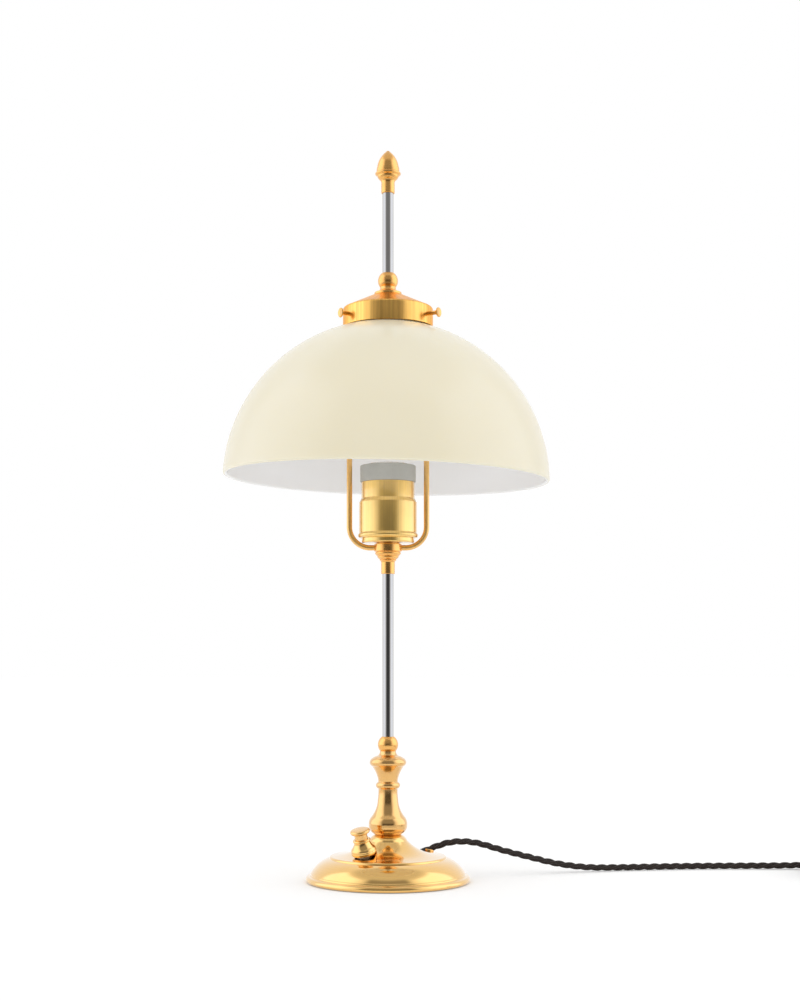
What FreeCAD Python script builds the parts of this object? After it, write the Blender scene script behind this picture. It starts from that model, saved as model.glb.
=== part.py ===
import FreeCAD, Part
import math
import os

# Dome shade desk lamp, in millimetres. +Z is up, +X is to the right as seen from the
# front, and the origin is on the table under the middle of the round base.
#
# From the table up: a felt pad and a steel cover plate close a spun brass base that hides
# a cast-iron weight, a turned baluster stands on it, a steel rod carries a turned hub, and
# the hub carries the lampholder and a closed bow of two bent rods. The bow's top boss holds
# the gallery, in which three thumbscrews grip the neck of the glass dome.

V = FreeCAD.Vector
UP = V(0, 0, 1)

# ---------------------------------------------------------------- clearances
fit = 0.05  # radial gap round a rod, tube or screw in its hole
slack = 0.3  # gap between pieces that may not touch
wall = 1.2  # spun brass of the base

# ---------------------------------------------------------------- base
pad_thickness = 1.5
cover_thickness = 1.0
foot_lift = 0.4  # brass rim above the table
foot_radius = 58.4
rim_radius = 59.5
rim_height = 2.0
groove_radius = 55.9
groove_height = 5.2
shoulder_radius = 42.4
shoulder_height = 17.0
step_radius = 41.6
step_height = 1.3
flat_radius = 33.0
flat_height = 19.6
collar_radius = 13.9
collar_height = 29.6
base_height = 33.7
seat_radius = 10.0
weight_height = 7.6
weight_recess_radius = 9.8
washer_radius = 9.0
washer_thickness = 1.0
nut_flats = 13.0  # across flats, for the 8 mm thread
nut_thickness = 4.0

# ---------------------------------------------------------------- rods and threaded tubes
rod_radius = 4.0
rod_bore = 3.0
tie_bore = 2.75
window_radius = 2.2  # cross hole in the tie tube that lets the wires in
window_height = 13.4
feed_angle = 50.0  # the wires' side of the tie tube, from +X

# ---------------------------------------------------------------- baluster, from its seat
baluster_height = 60.3
baluster_foot_radius = 9.3
belly_radius = 14.0
belly_height = 7.2
waist_radius = 6.95
waist_height = 31.5
bead_radius = 8.6
bead_width = 4.4
bead_height = 35.6
throat_radius = 6.95
throat_height = 39.0
cup_radius = 13.3
cup_height = 52.2
cup_step_radius = 9.8
cup_step_height = 56.2
baluster_top_radius = 5.8

# ---------------------------------------------------------------- lower ball nut
lower_ball_radius = 7.35
lower_ball_drop = 4.6  # from the ball's centre to the baluster

# ---------------------------------------------------------------- hub under the lampholder
lower_rod_exposed = 117.2
hub_sleeve_radius = 4.95
hub_sleeve_length = 9.2
hub_lip_radius = 5.8
hub_lip_height = 1.4
hub_bowl_radius = 9.1
hub_bowl_height = 3.8
hub_step_height = 1.6
hub_collar_radius = 10.0
hub_collar_height = 5.6
hub_seat_radius = 8.5
hub_seat_height = 0.7
hub_socket_depth = 9.0
nipple_radius = 5.0
nipple_length = 6.6

# ---------------------------------------------------------------- bow
bow_wire_radius = 2.0
bow_half_width = 27.8
bow_bend_radius = 15.0
bow_root_radius = 4.7
bow_drop = 2.7  # lower cross holes below the top of the hub's collar
boss_radius = 8.5
boss_height = 9.2

# ---------------------------------------------------------------- lampholder, from the hub's top
holder_wall = 0.6
cap_radius = 19.0
cap_height = 3.4
holder_bead_radius = 21.4
holder_bead_height = 4.0
lower_shell_radius = 20.9
lower_shell_top = 29.4
taper_height = 2.6
upper_shell_radius = 19.2
upper_shell_top = 43.8
ring_radius = 20.0
ring_height = 12.0
screw_shell_radius = 13.9  # outside; it takes a 27 mm lamp cap
screw_shell_wall = 0.5
screw_shell_stand = 1.3  # above the porcelain ring
insert_bottom = 12.6
insert_floor = 27.0
insert_radius = 18.0
contact_thickness = 0.8
contact_width = 6.0
contact_length = 13.0
terminal_radius = 1.5
terminal_offset = 10.0
terminal_length = 7.0
terminal_head = 2.0

# ---------------------------------------------------------------- gallery
gallery_wall = 1.0
gallery_lift = 0.305  # lower edge above the foot of the glass neck
gallery_stand = 8.589  # lower edge above the bow's boss
gallery_fillet = 1.6
gallery_cone_height = 10.8  # from the wall's top to the flat under the ball nut
gallery_top_radius = 11.2
gallery_lock_thickness = 3.2
screw_rise = 6.9  # screws' axes above the gallery's lower edge
screw_radius = 1.5
screw_length = 12.2
screw_head_radius = 3.4
screw_head_thickness = 1.2
screw_neck_length = 1.8
screw_tip_gap = 0.3
screw_angles = (210.0, 330.0, 90.0)

# ---------------------------------------------------------------- gallery ball nut, rod, finial
upper_ball_radius = 7.25
upper_ball_rise = 10.2  # ball's centre above the gallery
upper_disc_radius = 9.9
upper_disc_height = 2.0
upper_neck_radius = 5.7
upper_neck_height = 5.4
upper_rod_exposed = 57.4
finial_sleeve_radius = 4.9
finial_sleeve_length = 8.0
finial_cup_radius = 7.8
finial_cup_height = 13.4
finial_rim_radius = 9.2
finial_rim_thickness = 1.9
finial_body_radius = 8.25
finial_body_height = 15.6
finial_tip_radius = 1.6
finial_tip_rise = 0.9
finial_socket = 9.0

# ---------------------------------------------------------------- glass dome
dome_radius = 117.6
dome_wall = 3.0
dome_centre_height = 285.3
dome_rim_rise = 6.2  # rim above the sphere's centre
dome_lean = 1.4  # degrees; the glass hangs a little lower on its right
neck_radius = 28.2
neck_offset = 1.549  # the neck's axis is this far along X at the screws
neck_fillet = 2.6
neck_length = 12.2
neck_lip = 1.3
neck_lip_height = 1.8
neck_play = 1.95  # between the lip and the gallery's wall
neck_headroom = 0.5  # between the neck's top and the top of the gallery's wall
gallery_radius = neck_radius + neck_lip + neck_play + gallery_wall

# ---------------------------------------------------------------- push switch, on its own axis
switch_radius_out = 26.0  # from the lamp's axis
switch_angle = 230.0  # degrees from +X
switch_tilt = 15.7  # degrees outwards from upright
bell_lift = 1.05  # bell's flat foot above the base, measured on its axis
bell_height = 11.0
bell_foot_radius = 8.3
bell_radius = 8.9
bell_waist_radius = 5.6
bell_ring_radius = 6.05
bell_ring_height = 1.4
bell_wall = 0.9
bush_radius = 5.0
bush_bore = 3.2
bush_above = 4.2
bush_below = 6.6
switch_nut_flats = 14.0
switch_nut_thickness = 2.4
switch_body_radius = 7.4
switch_body_length = 10.0
button_neck_radius = 4.6
button_cap_radius = 6.75
button_cap_thickness = 3.2
button_reach = 4.4  # neck shown between the bell and the cap
button_travel = 3.0
button_stem_radius = 1.5
spring_wire = 0.35
spring_radius = 2.4
spring_turns = 6

# ---------------------------------------------------------------- cord
cord_radius = 2.5
cord_length = 1800.0
grommet_radius = 3.9
grommet_wall = 0.9
grommet_stand = 1.5
inner_cord_length = 15.0
clamp_length = 6.0
clamp_width = 11.0
clamp_height = 7.0
clamp_screw_radius = 1.5
wire_radius = 0.8
wire_spread = 1.25  # of the wires about the axis, in the stem
wire_bend = 2.6
wire_feed = 17.0  # from the axis to where the cord's cores part
live_feed = 14.6  # from the axis to the switch's live terminal
turn_pitch = 5.6  # between turns, and between layers, of the coil
tie_strap_thickness = 0.9
tie_strap_width = 9.0
exit_point = V(28.3, 20.2, 19.9)
lead_points = [
    exit_point,
    V(40.0, 23.0, 24.4),
    V(52.0, 25.8, 26.0),
    V(66.0, 29.3, 24.5),
    V(84.5, 33.9, 18.2),
    V(105.0, 38.8, 12.6),
    V(127.0, 43.6, 6.6),
    V(150.5, 48.9, 3.1),
    V(177.0, 54.6, 2.6),
    V(205.0, 59.3, 2.6),
    V(236.0, 62.6, 2.6),
    V(270.0, 63.6, 2.6),
    V(303.0, 62.4, 2.9),
    V(331.0, 61.4, 3.9),
    V(352.0, 61.4, 3.9),
]
# The last stretch, counted from where the cord leaves the top of the coil
tail_steps = [
    V(0.0, 0.0, 0.0),
    V(9.0, 0.0, 0.0),
    V(20.0, -1.6, -1.0),
    V(33.6, -9.0, -2.9),
    V(42.6, -24.6, -3.2),
    V(43.4, -42.0, -1.4),
    V(43.0, -57.0, -1.4),
]

# ---------------------------------------------------------------- plug, from the cord's end
plug_radius = 19.2
plug_face_length = 15.0
plug_grip_radius = 14.0
plug_body_length = 42.0
plug_sleeve_radius = 4.6
plug_sleeve_length = 14.0
plug_recess_radius = 15.6
plug_recess_depth = 6.0
pin_radius = 2.4
pin_length = 19.0
pin_root_radius = 2.0
pin_root = 9.0
pin_spacing = 19.0
earth_hole_radius = 2.5
earth_hole_depth = 17.0
earth_hole_offset = 10.0
clip_width = 6.0
clip_thickness = 0.8

nodes = {}


# ---------------------------------------------------------------- helpers
def outline(points):
    """A closed face in the XZ plane. A point is (r, z), or (r, z, bulge) when the edge that
    reaches it is an arc: bulge is the arc's height over half its chord, to the right of travel."""
    edges = []
    here = points[0]
    for step in list(points[1:]) + [points[0][:2]]:
        start = V(here[0], 0, here[1])
        end = V(step[0], 0, step[1])
        bulge = step[2] if len(step) > 2 else 0.0
        run = end - start
        if run.Length > 1e-6:
            if bulge:
                side = V(run.z, 0, -run.x) * (0.5 * bulge)
                middle = (start + end) * 0.5 + side
                edges.append(Part.Arc(start, middle, end).toShape())
            else:
                edges.append(Part.makeLine(start, end))
        here = step
    return Part.Face(Part.Wire(edges))


def turned(points):
    """A solid of revolution about Z."""
    return outline(points).revolve(V(0, 0, 0), UP, 360)


def ball_bulge(radius, low, high):
    """Bulge of the arc on a ball between two heights measured from its centre."""
    a = math.asin(low / radius)
    b = math.asin(high / radius)
    return math.tan((b - a) / 4)


def cap_bulge(radius, rise):
    """Bulge of the arc from a rim of that radius up to the axis, when both lie on one ball."""
    return math.tan(math.atan(rise / radius) / 2)


def tube(radius, bottom, top, bore=0.0):
    """A round bar or tube along Z."""
    solid = Part.makeCylinder(radius, top - bottom, V(0, 0, bottom))
    if bore:
        solid = solid.cut(Part.makeCylinder(bore, top - bottom, V(0, 0, bottom)))
    return solid


def hex_nut(flats, bottom, thickness, bore):
    """A hexagon nut along Z."""
    corner = flats / math.sqrt(3)
    ring = [
        V(corner * math.cos(math.radians(60 * k)), corner * math.sin(math.radians(60 * k)), bottom)
        for k in range(7)
    ]
    nut = Part.Face(Part.makePolygon(ring)).extrude(V(0, 0, thickness))
    return nut.cut(Part.makeCylinder(bore, thickness, V(0, 0, bottom)))


def placed(shape, at, axis, spin=0.0):
    """The shape moved so that its own origin is at a point and its Z axis lies along axis."""
    turn = FreeCAD.Rotation(UP, V(axis)).multiply(FreeCAD.Rotation(UP, spin))
    copy = shape.copy()
    copy.Placement = FreeCAD.Placement(at, turn).multiply(copy.Placement)
    return copy


def at_angle(radius, degrees, z=0.0):
    """The point at a radius and an angle about the lamp's axis."""
    a = math.radians(degrees)
    return V(radius * math.cos(a), radius * math.sin(a), z)


def bent_path(points, bend=None, name=""):
    """Straight runs joined by tangent arcs. Each arc is as large as its two runs allow, or
    has the radius that bend gives. Prints the radii of a cord's route when it has a name."""
    edges = []
    radii = []
    start = points[0]
    for before, corner, after in zip(points, points[1:], points[2:]):
        run_in = corner - before
        run_out = after - corner
        turn = run_in.getAngle(run_out)
        share = math.tan(turn / 2)
        if bend:
            radius = bend
        else:
            radius = 0.45 * min(run_in.Length, run_out.Length) / share
        radii.append(radius)
        back = radius * share
        into = corner - V(run_in).normalize() * back
        out = corner + V(run_out).normalize() * back
        inward = (V(run_out).normalize() - V(run_in).normalize()).normalize()
        depth = radius / math.cos(turn / 2) - radius
        edges.append(Part.LineSegment(start, into).toShape())
        edges.append(Part.Arc(into, corner + inward * depth, out).toShape())
        start = out
    edges.append(Part.LineSegment(start, points[-1]).toShape())
    wire = Part.Wire(edges)
    if name:
        print(name, "bend radii, mm:", [round(r, 1) for r in radii])
    return wire


def swept(wire, radius, name=""):
    """A round bar along a wire. Prints its volume against section times length when named."""
    first = wire.OrderedEdges[0]
    at = first.valueAt(first.FirstParameter)
    along = first.tangentAt(first.FirstParameter)
    ring = Part.Wire(Part.makeCircle(radius, at, along))
    shell = Part.BRepOffsetAPI.MakePipeShell(wire)
    shell.add(ring)
    shell.build()
    shell.makeSolid()
    solid = Part.Solid(shell.shape())
    if solid.Volume < 0:
        solid.reverse()
    if name:
        section = math.pi * radius**2 * wire.Length
        print(name, "length", round(wire.Length, 1), "volume share", round(solid.Volume / section, 4))
    return solid


def keep(name, shape):
    """Store a node's solid, or group of solids."""
    nodes[name] = shape


# ---------------------------------------------------------------- base
def base_outline(inset):
    """Outer outline of the base from the foot up, moved in and down by inset."""
    fillet = step_radius - flat_radius
    points = [
        (foot_radius, foot_lift),
        (rim_radius, rim_height, 0.35),
        (groove_radius + 0.9, groove_height - 0.6, 0.42),
        (groove_radius, groove_height + 1.0, -0.35),
        (shoulder_radius, shoulder_height, 0.2),
        (step_radius, shoulder_height + step_height, 0.25),
        (step_radius - 0.15 * fillet, shoulder_height + step_height + 0.25, 0.1),
        (flat_radius, flat_height, -0.02),
        (collar_radius, collar_height, -0.17),
        (seat_radius, base_height, 0.16),
    ]
    return [(p[0] - inset, p[1] - inset) + tuple(p[2:]) for p in points]


def base_solid(inset):
    """The base filled down to below the table, its surface moved in and down by inset."""
    points = base_outline(inset)
    floor = -2 * rim_height - inset
    first = points[0]
    return turned([(0, floor), (first[0], floor)] + points + [(0, points[-1][1])])


def make_base():
    cover_radius = groove_radius - wall - slack
    cover_bottom = pad_thickness
    cover_top = cover_bottom + cover_thickness
    weight_bottom = cover_top + slack
    weight_top = weight_bottom + weight_height

    outer = turned([(0, foot_lift)] + base_outline(0) + [(0, base_height)])
    shell = outer.cut(base_solid(wall))
    shell = shell.cut(tube(rod_radius + fit, 0, base_height + wall))
    shell = shell.cut(placed(tube(bush_radius + fit, -2 * bell_height, bell_height), *switch_seat()))
    shell = shell.cut(placed(tube(grommet_radius - grommet_wall, -9, 9), *grommet_seat()))
    keep("base_shell", shell.cut(cord_hole()))
    keep("base_pad", tube(cover_radius, 0, pad_thickness))
    keep("base_cover_plate", tube(cover_radius, cover_bottom, cover_top))

    weight = base_solid(wall + slack).common(tube(rim_radius, weight_bottom, weight_top))
    recess_top = weight_bottom + slack + nut_thickness + washer_thickness
    weight = weight.cut(tube(weight_recess_radius, weight_bottom, recess_top))
    weight = weight.cut(tube(rod_radius + fit, weight_bottom, weight_top))
    pocket = tube(switch_body_radius + 4 * slack, -base_height, 0)
    keep("base_weight", weight.cut(placed(pocket, *switch_seat())))
    washer_bottom = recess_top - washer_thickness
    keep("base_washer", tube(washer_radius, washer_bottom, recess_top, rod_radius + fit))
    nut_bottom = washer_bottom - nut_thickness
    keep("base_lock_nut", hex_nut(nut_flats, nut_bottom, nut_thickness, rod_radius + fit))

    tie = tube(rod_radius, nut_bottom, lower_ball_centre(), tie_bore)
    window = tube(window_radius, -2 * rod_radius, 2 * rod_radius)
    keep("base_tie_tube", tie.cut(placed(window, V(0, 0, window_height), at_angle(1, feed_angle))))
    return weight_top


# ---------------------------------------------------------------- stem
def baluster_top():
    return base_height + baluster_height


def lower_ball_centre():
    return baluster_top() + lower_ball_drop


def hub_bottom():
    ball_top = math.sqrt(lower_ball_radius**2 - (rod_radius + 0.5) ** 2)
    return lower_ball_centre() + ball_top + lower_rod_exposed


def collar_top():
    heights = (hub_sleeve_length, hub_lip_height, hub_bowl_height, hub_step_height, hub_collar_height)
    return hub_bottom() + sum(heights)


def hub_top():
    return collar_top() + hub_seat_height


def make_baluster():
    bore = rod_radius + 2 * fit
    half_bead = bead_width / 2
    points = [
        (bore, 0),
        (baluster_foot_radius, 0),
        (baluster_foot_radius + 0.5, 0.5, 0.2),
        (belly_radius, belly_height, 0.33),
        (belly_radius - 1.6, belly_height + 5.4, 0.18),
        (waist_radius + 0.5, waist_height - 6.5, -0.17),
        (waist_radius, bead_height - half_bead - 0.4, -0.04),
        (bead_radius - 1.0, bead_height - half_bead),
        (bead_radius - 1.0, bead_height + half_bead, 0.55),
        (throat_radius + 0.1, bead_height + half_bead + 0.5),
        (throat_radius + 0.5, throat_height + 2.0, -0.05),
        (cup_radius - 1.8, cup_height - 2.8, -0.09),
        (cup_radius, cup_height, 0.3),
        (cup_step_radius + 1.1, cup_step_height - 0.7, 0.28),
        (cup_step_radius, cup_step_height, 0.2),
        (cup_step_radius - 0.9, cup_step_height + 0.5),
        (baluster_top_radius + 0.3, baluster_height - 1.6, -0.3),
        (baluster_top_radius, baluster_height, -0.1),
        (bore, baluster_height),
    ]
    points = [(p[0], p[1] + base_height) + tuple(p[2:]) for p in points]
    keep("baluster", turned(points))


def make_lower_ball_nut():
    low = -lower_ball_drop
    high = math.sqrt(lower_ball_radius**2 - (rod_radius + 0.5) ** 2)
    centre = lower_ball_centre()
    foot = math.sqrt(lower_ball_radius**2 - low**2)
    bore = rod_radius + fit
    points = [
        (bore, centre + low),
        (foot, centre + low),
        (rod_radius + 0.5, centre + high, ball_bulge(lower_ball_radius, low, high)),
        (bore, centre + high),
    ]
    keep("lower_ball_nut", turned(points))


def make_hub():
    z0 = hub_bottom()
    z1 = z0 + hub_sleeve_length
    z2 = z1 + hub_lip_height
    z3 = z2 + hub_bowl_height
    z4 = z3 + hub_step_height
    z5 = collar_top()
    seat = hub_top()
    edge = 0.35
    points = [
        (rod_bore, z0),
        (hub_sleeve_radius - edge, z0),
        (hub_sleeve_radius, z0 + edge, 0.4),
        (hub_sleeve_radius, z1 - 1.2),
        (hub_lip_radius, z1 + 0.4, -0.3),
        (hub_lip_radius, z2 - 0.2, 0.6),
        (hub_lip_radius + 0.4, z2),
        (hub_bowl_radius, z3, 0.25),
        (hub_bowl_radius + 0.2, z4 - 0.5, 0.2),
        (hub_collar_radius, z4 + 0.4, -0.2),
        (hub_collar_radius, z5 - edge),
        (hub_collar_radius - edge, z5, 0.4),
        (hub_seat_radius, z5),
        (hub_seat_radius, seat),
        (nipple_radius, seat),
        (nipple_radius, seat + nipple_length),
        (rod_bore, seat + nipple_length),
    ]
    hub = turned(points).cut(tube(rod_radius + fit, z0 - 1, z0 + hub_socket_depth))
    hub = hub.cut(cross_holes(z5 - bow_drop))
    keep("bow_hub", hub)
    lower = lower_ball_centre() + slack
    keep("lower_rod", tube(rod_radius, lower, z0 + hub_socket_depth - slack, rod_bore))


def cross_holes(z):
    """Two holes along X in which the bow's ends sit."""
    holes = []
    for side in (1, -1):
        start = V(side * (bow_root_radius - fit), 0, z)
        holes.append(Part.makeCylinder(bow_wire_radius + fit, bow_half_width, start, V(side, 0, 0)))
    return Part.makeCompound(holes)


# ---------------------------------------------------------------- bow
def bow_low():
    return collar_top() - bow_drop


def bow_high():
    return gallery_bottom() - gallery_stand - boss_height / 2


def make_bow():
    for name, side in (("bow_rod_right", 1), ("bow_rod_left", -1)):
        path = bent_path(
            [
                V(side * bow_root_radius, 0, bow_low()),
                V(side * bow_half_width, 0, bow_low()),
                V(side * bow_half_width, 0, bow_high()),
                V(side * bow_root_radius, 0, bow_high()),
            ],
            bow_bend_radius,
        )
        keep(name, swept(path, bow_wire_radius))
    bottom = bow_high() - boss_height / 2
    top = bow_high() + boss_height / 2
    edge = 1.2
    bore = rod_radius + fit
    points = [
        (bore, bottom),
        (boss_radius - edge, bottom),
        (boss_radius, bottom + edge, 0.4),
        (boss_radius, top - edge),
        (boss_radius - edge, top, 0.4),
        (bore, top),
    ]
    keep("bow_top_boss", turned(points).cut(cross_holes(bow_high())))
    keep("gallery_stud", tube(rod_radius, bottom, gallery_top() + upper_ball_rise))


# ---------------------------------------------------------------- lampholder
def terminal_angles():
    """Live, neutral and earth terminals, each in line with its wire."""
    return (feed_angle + 180.0, feed_angle - 60.0, feed_angle + 60.0)


def make_lampholder():
    z = hub_top()
    shell_top = z + lower_shell_top
    upper_top = z + upper_shell_top
    bead = z + cap_height
    w = holder_wall
    outer = [
        (nipple_radius + fit, z),
        (cap_radius - 1.0, z),
        (cap_radius, z + 1.0, 0.4),
        (cap_radius, bead - 0.3),
        (holder_bead_radius - 0.6, bead + 0.3, -0.2),
        (holder_bead_radius - 0.3, bead + holder_bead_height - 0.5, 0.5),
        (lower_shell_radius, bead + holder_bead_height),
        (lower_shell_radius, shell_top),
        (lower_shell_radius - w, shell_top),
        (lower_shell_radius - w, bead + w),
        (cap_radius - w, bead),
        (cap_radius - w, z + w),
        (nipple_radius + fit, z + w),
    ]
    keep("lampholder_lower_shell", turned(outer))

    joint = lower_shell_radius - w - fit
    upper = [
        (joint - w, shell_top - 4 * w),
        (joint, shell_top - 4 * w),
        (joint, shell_top + 0.2),
        (upper_shell_radius, shell_top + taper_height, 0.12),
        (upper_shell_radius, upper_top),
        (upper_shell_radius - 3 * w, upper_top),
        (upper_shell_radius - 3 * w, upper_top - w),
        (upper_shell_radius - w, upper_top - w),
        (upper_shell_radius - w, shell_top + taper_height),
        (joint - w, shell_top + 0.2),
    ]
    keep("lampholder_upper_shell", turned(upper))

    ring_top = upper_top + ring_height
    bore = screw_shell_radius + fit
    edge = 0.8
    ring = [
        (bore, upper_top),
        (ring_radius - 0.4, upper_top),
        (ring_radius, upper_top + 0.4, 0.4),
        (ring_radius, ring_top - edge),
        (ring_radius - edge, ring_top, 0.4),
        (bore + 0.4, ring_top),
        (bore, ring_top - 0.4),
    ]
    keep("porcelain_ring", turned(ring))

    floor = z + insert_floor
    insert = [
        (nipple_radius + fit, z + insert_bottom),
        (insert_radius, z + insert_bottom),
        (insert_radius, upper_top - 2 * w),
        (bore, upper_top - 2 * w),
        (bore, floor),
        (nipple_radius + fit, floor),
    ]
    insert = turned(insert)
    for degrees in terminal_angles():
        at = at_angle(terminal_offset, degrees, z + insert_bottom)
        insert = insert.cut(Part.makeCylinder(terminal_radius + fit, terminal_length, at))
    keep("porcelain_insert", insert)

    lip_top = ring_top + screw_shell_stand
    inside = screw_shell_radius - screw_shell_wall
    shell_bottom = floor + 2 * slack + contact_thickness
    keep("screw_shell", tube(screw_shell_radius, shell_bottom, lip_top, inside))

    post = tube(nipple_radius - slack, z + insert_bottom + slack, floor + slack)
    spring_blade = Part.makeBox(
        contact_length, contact_width, contact_thickness,
        V(-contact_length / 2, -contact_width / 2, floor + slack),
    )
    keep("centre_contact", post.fuse(spring_blade))

    screws = []
    for degrees in terminal_angles():
        at = at_angle(terminal_offset, degrees, z + insert_bottom - terminal_head)
        head = Part.makeCylinder(2 * terminal_radius, terminal_head, at)
        screws.append(head.fuse(Part.makeCylinder(terminal_radius, terminal_length, at)))
    keep("terminal_screws", Part.makeCompound(screws))


# ---------------------------------------------------------------- gallery and its screws
def neck_root():
    """Height of the neck's foot above the centre of the dome's sphere."""
    return math.sqrt(dome_radius**2 - (neck_radius + neck_fillet) ** 2)


def gallery_bottom():
    return dome_centre_height + neck_root() + gallery_lift


def gallery_wall_top():
    return gallery_bottom() + neck_length + neck_headroom


def gallery_top():
    return gallery_wall_top() + gallery_cone_height


def screw_height():
    return gallery_bottom() + screw_rise


def gallery_outline(inset):
    """Outer outline of the gallery from its lower edge up, moved in and down by inset."""
    points = [
        (gallery_radius, gallery_bottom()),
        (gallery_radius, gallery_wall_top()),
        (gallery_radius - gallery_fillet, gallery_wall_top() + gallery_fillet, 0.3),
        (gallery_top_radius, gallery_top() - 0.3),
        (gallery_top_radius - 0.6, gallery_top(), 0.2),
    ]
    return [(p[0] - inset, p[1] - inset) + tuple(p[2:]) for p in points]


def screw_tip(degrees):
    """Distance from the lamp's axis at which a thumbscrew meets the glass neck."""
    a = math.radians(degrees)
    aside = neck_offset * math.sin(a)
    return neck_offset * math.cos(a) + math.sqrt(neck_radius**2 - aside**2) + screw_tip_gap


def make_gallery():
    w = gallery_wall
    bottom, top = gallery_bottom(), gallery_top()
    outer = gallery_outline(0)
    inner = gallery_outline(w)
    solid = turned([(0, bottom)] + outer + [(0, top)])
    hollow = turned([(0, bottom - w)] + inner + [(0, top - w)])
    gallery = solid.cut(hollow).cut(tube(rod_radius + fit, bottom, top + w))
    for degrees in screw_angles:
        at = at_angle(gallery_radius - 3 * w, degrees, screw_height())
        gallery = gallery.cut(Part.makeCylinder(screw_radius + fit, 6 * w, at, at_angle(1, degrees)))
    keep("shade_gallery", gallery)

    under = top - w
    keep("gallery_washer", tube(gallery_top_radius - 2 * w, under - w, under, rod_radius + fit))
    nut_bottom = under - w - gallery_lock_thickness
    keep("gallery_lock_nut", hex_nut(nut_flats, nut_bottom, gallery_lock_thickness, rod_radius + fit))


def make_thumbscrews():
    head = screw_length - screw_head_thickness
    dish = 0.35
    dished = screw_head_radius - 0.8
    points = [
        (0, 0),
        (screw_radius - dish, 0),
        (screw_radius, dish),
        (screw_radius, head - screw_neck_length),
        (screw_head_radius - 0.3, head, -0.25),
        (screw_head_radius, head + 0.35, 0.3),
        (screw_head_radius - 0.4, screw_length, 0.4),
        (dished, screw_length),
        (0, screw_length - dish, -cap_bulge(dished, dish)),
    ]
    screw = turned(points)
    names = ("thumbscrew_left", "thumbscrew_right", "thumbscrew_back")
    for name, degrees in zip(names, screw_angles):
        at = at_angle(screw_tip(degrees), degrees, screw_height())
        keep(name, placed(screw, at, at_angle(1, degrees)))


def make_gallery_ball_nut():
    z = gallery_top()
    centre = z + upper_ball_rise
    bore = rod_radius + fit
    high = math.sqrt(upper_ball_radius**2 - (rod_radius + 0.5) ** 2)
    low = -math.sqrt(upper_ball_radius**2 - upper_neck_radius**2)
    points = [
        (bore, z),
        (upper_disc_radius - 0.5, z),
        (upper_disc_radius, z + 0.5, 0.4),
        (upper_disc_radius, z + upper_disc_height - 0.5),
        (upper_disc_radius - 0.5, z + upper_disc_height, 0.4),
        (upper_disc_radius - 1.3, z + upper_disc_height),
        (upper_neck_radius, z + upper_neck_height, -0.35),
        (upper_neck_radius, centre + low),
        (rod_radius + 0.5, centre + high, ball_bulge(upper_ball_radius, low, high)),
        (bore, centre + high),
    ]
    keep("gallery_ball_nut", turned(points))
    rod_bottom = centre + slack
    sleeve = centre + high + upper_rod_exposed
    keep("upper_rod", tube(rod_radius, rod_bottom, sleeve + finial_socket - slack, rod_bore))
    return sleeve


def make_finial(z):
    cup = z + finial_cup_height
    rim = cup + finial_rim_thickness
    tip = rim + finial_body_height
    edge = 0.8
    points = [
        (rod_radius + fit, z),
        (finial_sleeve_radius - 0.4, z),
        (finial_sleeve_radius, z + edge, 0.3),
        (finial_sleeve_radius, z + finial_sleeve_length - 1.5),
        (finial_cup_radius - 2.0, cup - 3.6, -0.25),
        (finial_cup_radius, cup - 0.7, 0.2),
        (finial_rim_radius - 0.5, cup),
        (finial_rim_radius, cup + 0.7, 0.4),
        (finial_rim_radius - 0.3, rim - 0.4, 0.3),
        (finial_body_radius, rim),
        (finial_body_radius - 0.5, rim + 0.28 * finial_body_height, 0.1),
        (finial_tip_radius, tip - finial_tip_rise, 0.19),
        (0, tip, cap_bulge(finial_tip_radius, finial_tip_rise)),
        (0, z + finial_socket),
        (rod_radius + fit, z + finial_socket),
    ]
    keep("finial", turned(points))


# ---------------------------------------------------------------- glass dome
def make_shade():
    inner = dome_radius - dome_wall
    rim = dome_rim_rise
    out_rim = math.sqrt(dome_radius**2 - rim**2)
    in_rim = math.sqrt(inner**2 - rim**2)
    root = neck_radius + neck_fillet
    root_z = neck_root()
    bore = neck_radius - dome_wall
    bore_root = bore - 0.6
    bore_z = math.sqrt(inner**2 - bore_root**2)
    top = root_z + neck_length
    lip = neck_radius + neck_lip
    points = [
        (in_rim, rim),
        (out_rim, rim, 1.0),
        (root, root_z, ball_bulge(dome_radius, rim, root_z)),
        (neck_radius, root_z + neck_fillet, -0.38),
        (neck_radius, top - neck_lip_height),
        (lip, top - 0.6 * neck_lip_height, 0.2),
        (lip - 0.4, top, 0.5),
        (bore + 0.6, top),
        (bore, top - 0.6, 0.4),
        (bore, bore_z + 1.0),
        (bore_root + 0.9, bore_z - 0.15, -0.1),
        (in_rim, rim, -ball_bulge(inner, rim, bore_z - 0.15)),
    ]
    glass = turned(points)
    lean = math.radians(dome_lean)
    offset = neck_offset - (screw_height() - dome_centre_height) * math.sin(lean)
    turn = FreeCAD.Rotation(V(0, 1, 0), dome_lean)
    glass.Placement = FreeCAD.Placement(V(offset, 0, dome_centre_height), turn)
    keep("glass_shade", glass)


# ---------------------------------------------------------------- push switch
def base_surface(radius):
    """Height of the base's flare between its flat and its collar, on the flare's arc."""
    start = V(flat_radius, 0, flat_height)
    end = V(collar_radius, 0, collar_height)
    run = end - start
    side = V(run.z, 0, -run.x) * (0.5 * -0.17)
    arc = Part.Arc(start, (start + end) * 0.5 + side, end).toShape()
    line = Part.makeLine(V(radius, 0, 0), V(radius, 0, 2 * base_height))
    return arc.distToShape(line)[1][0][0].z


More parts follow.
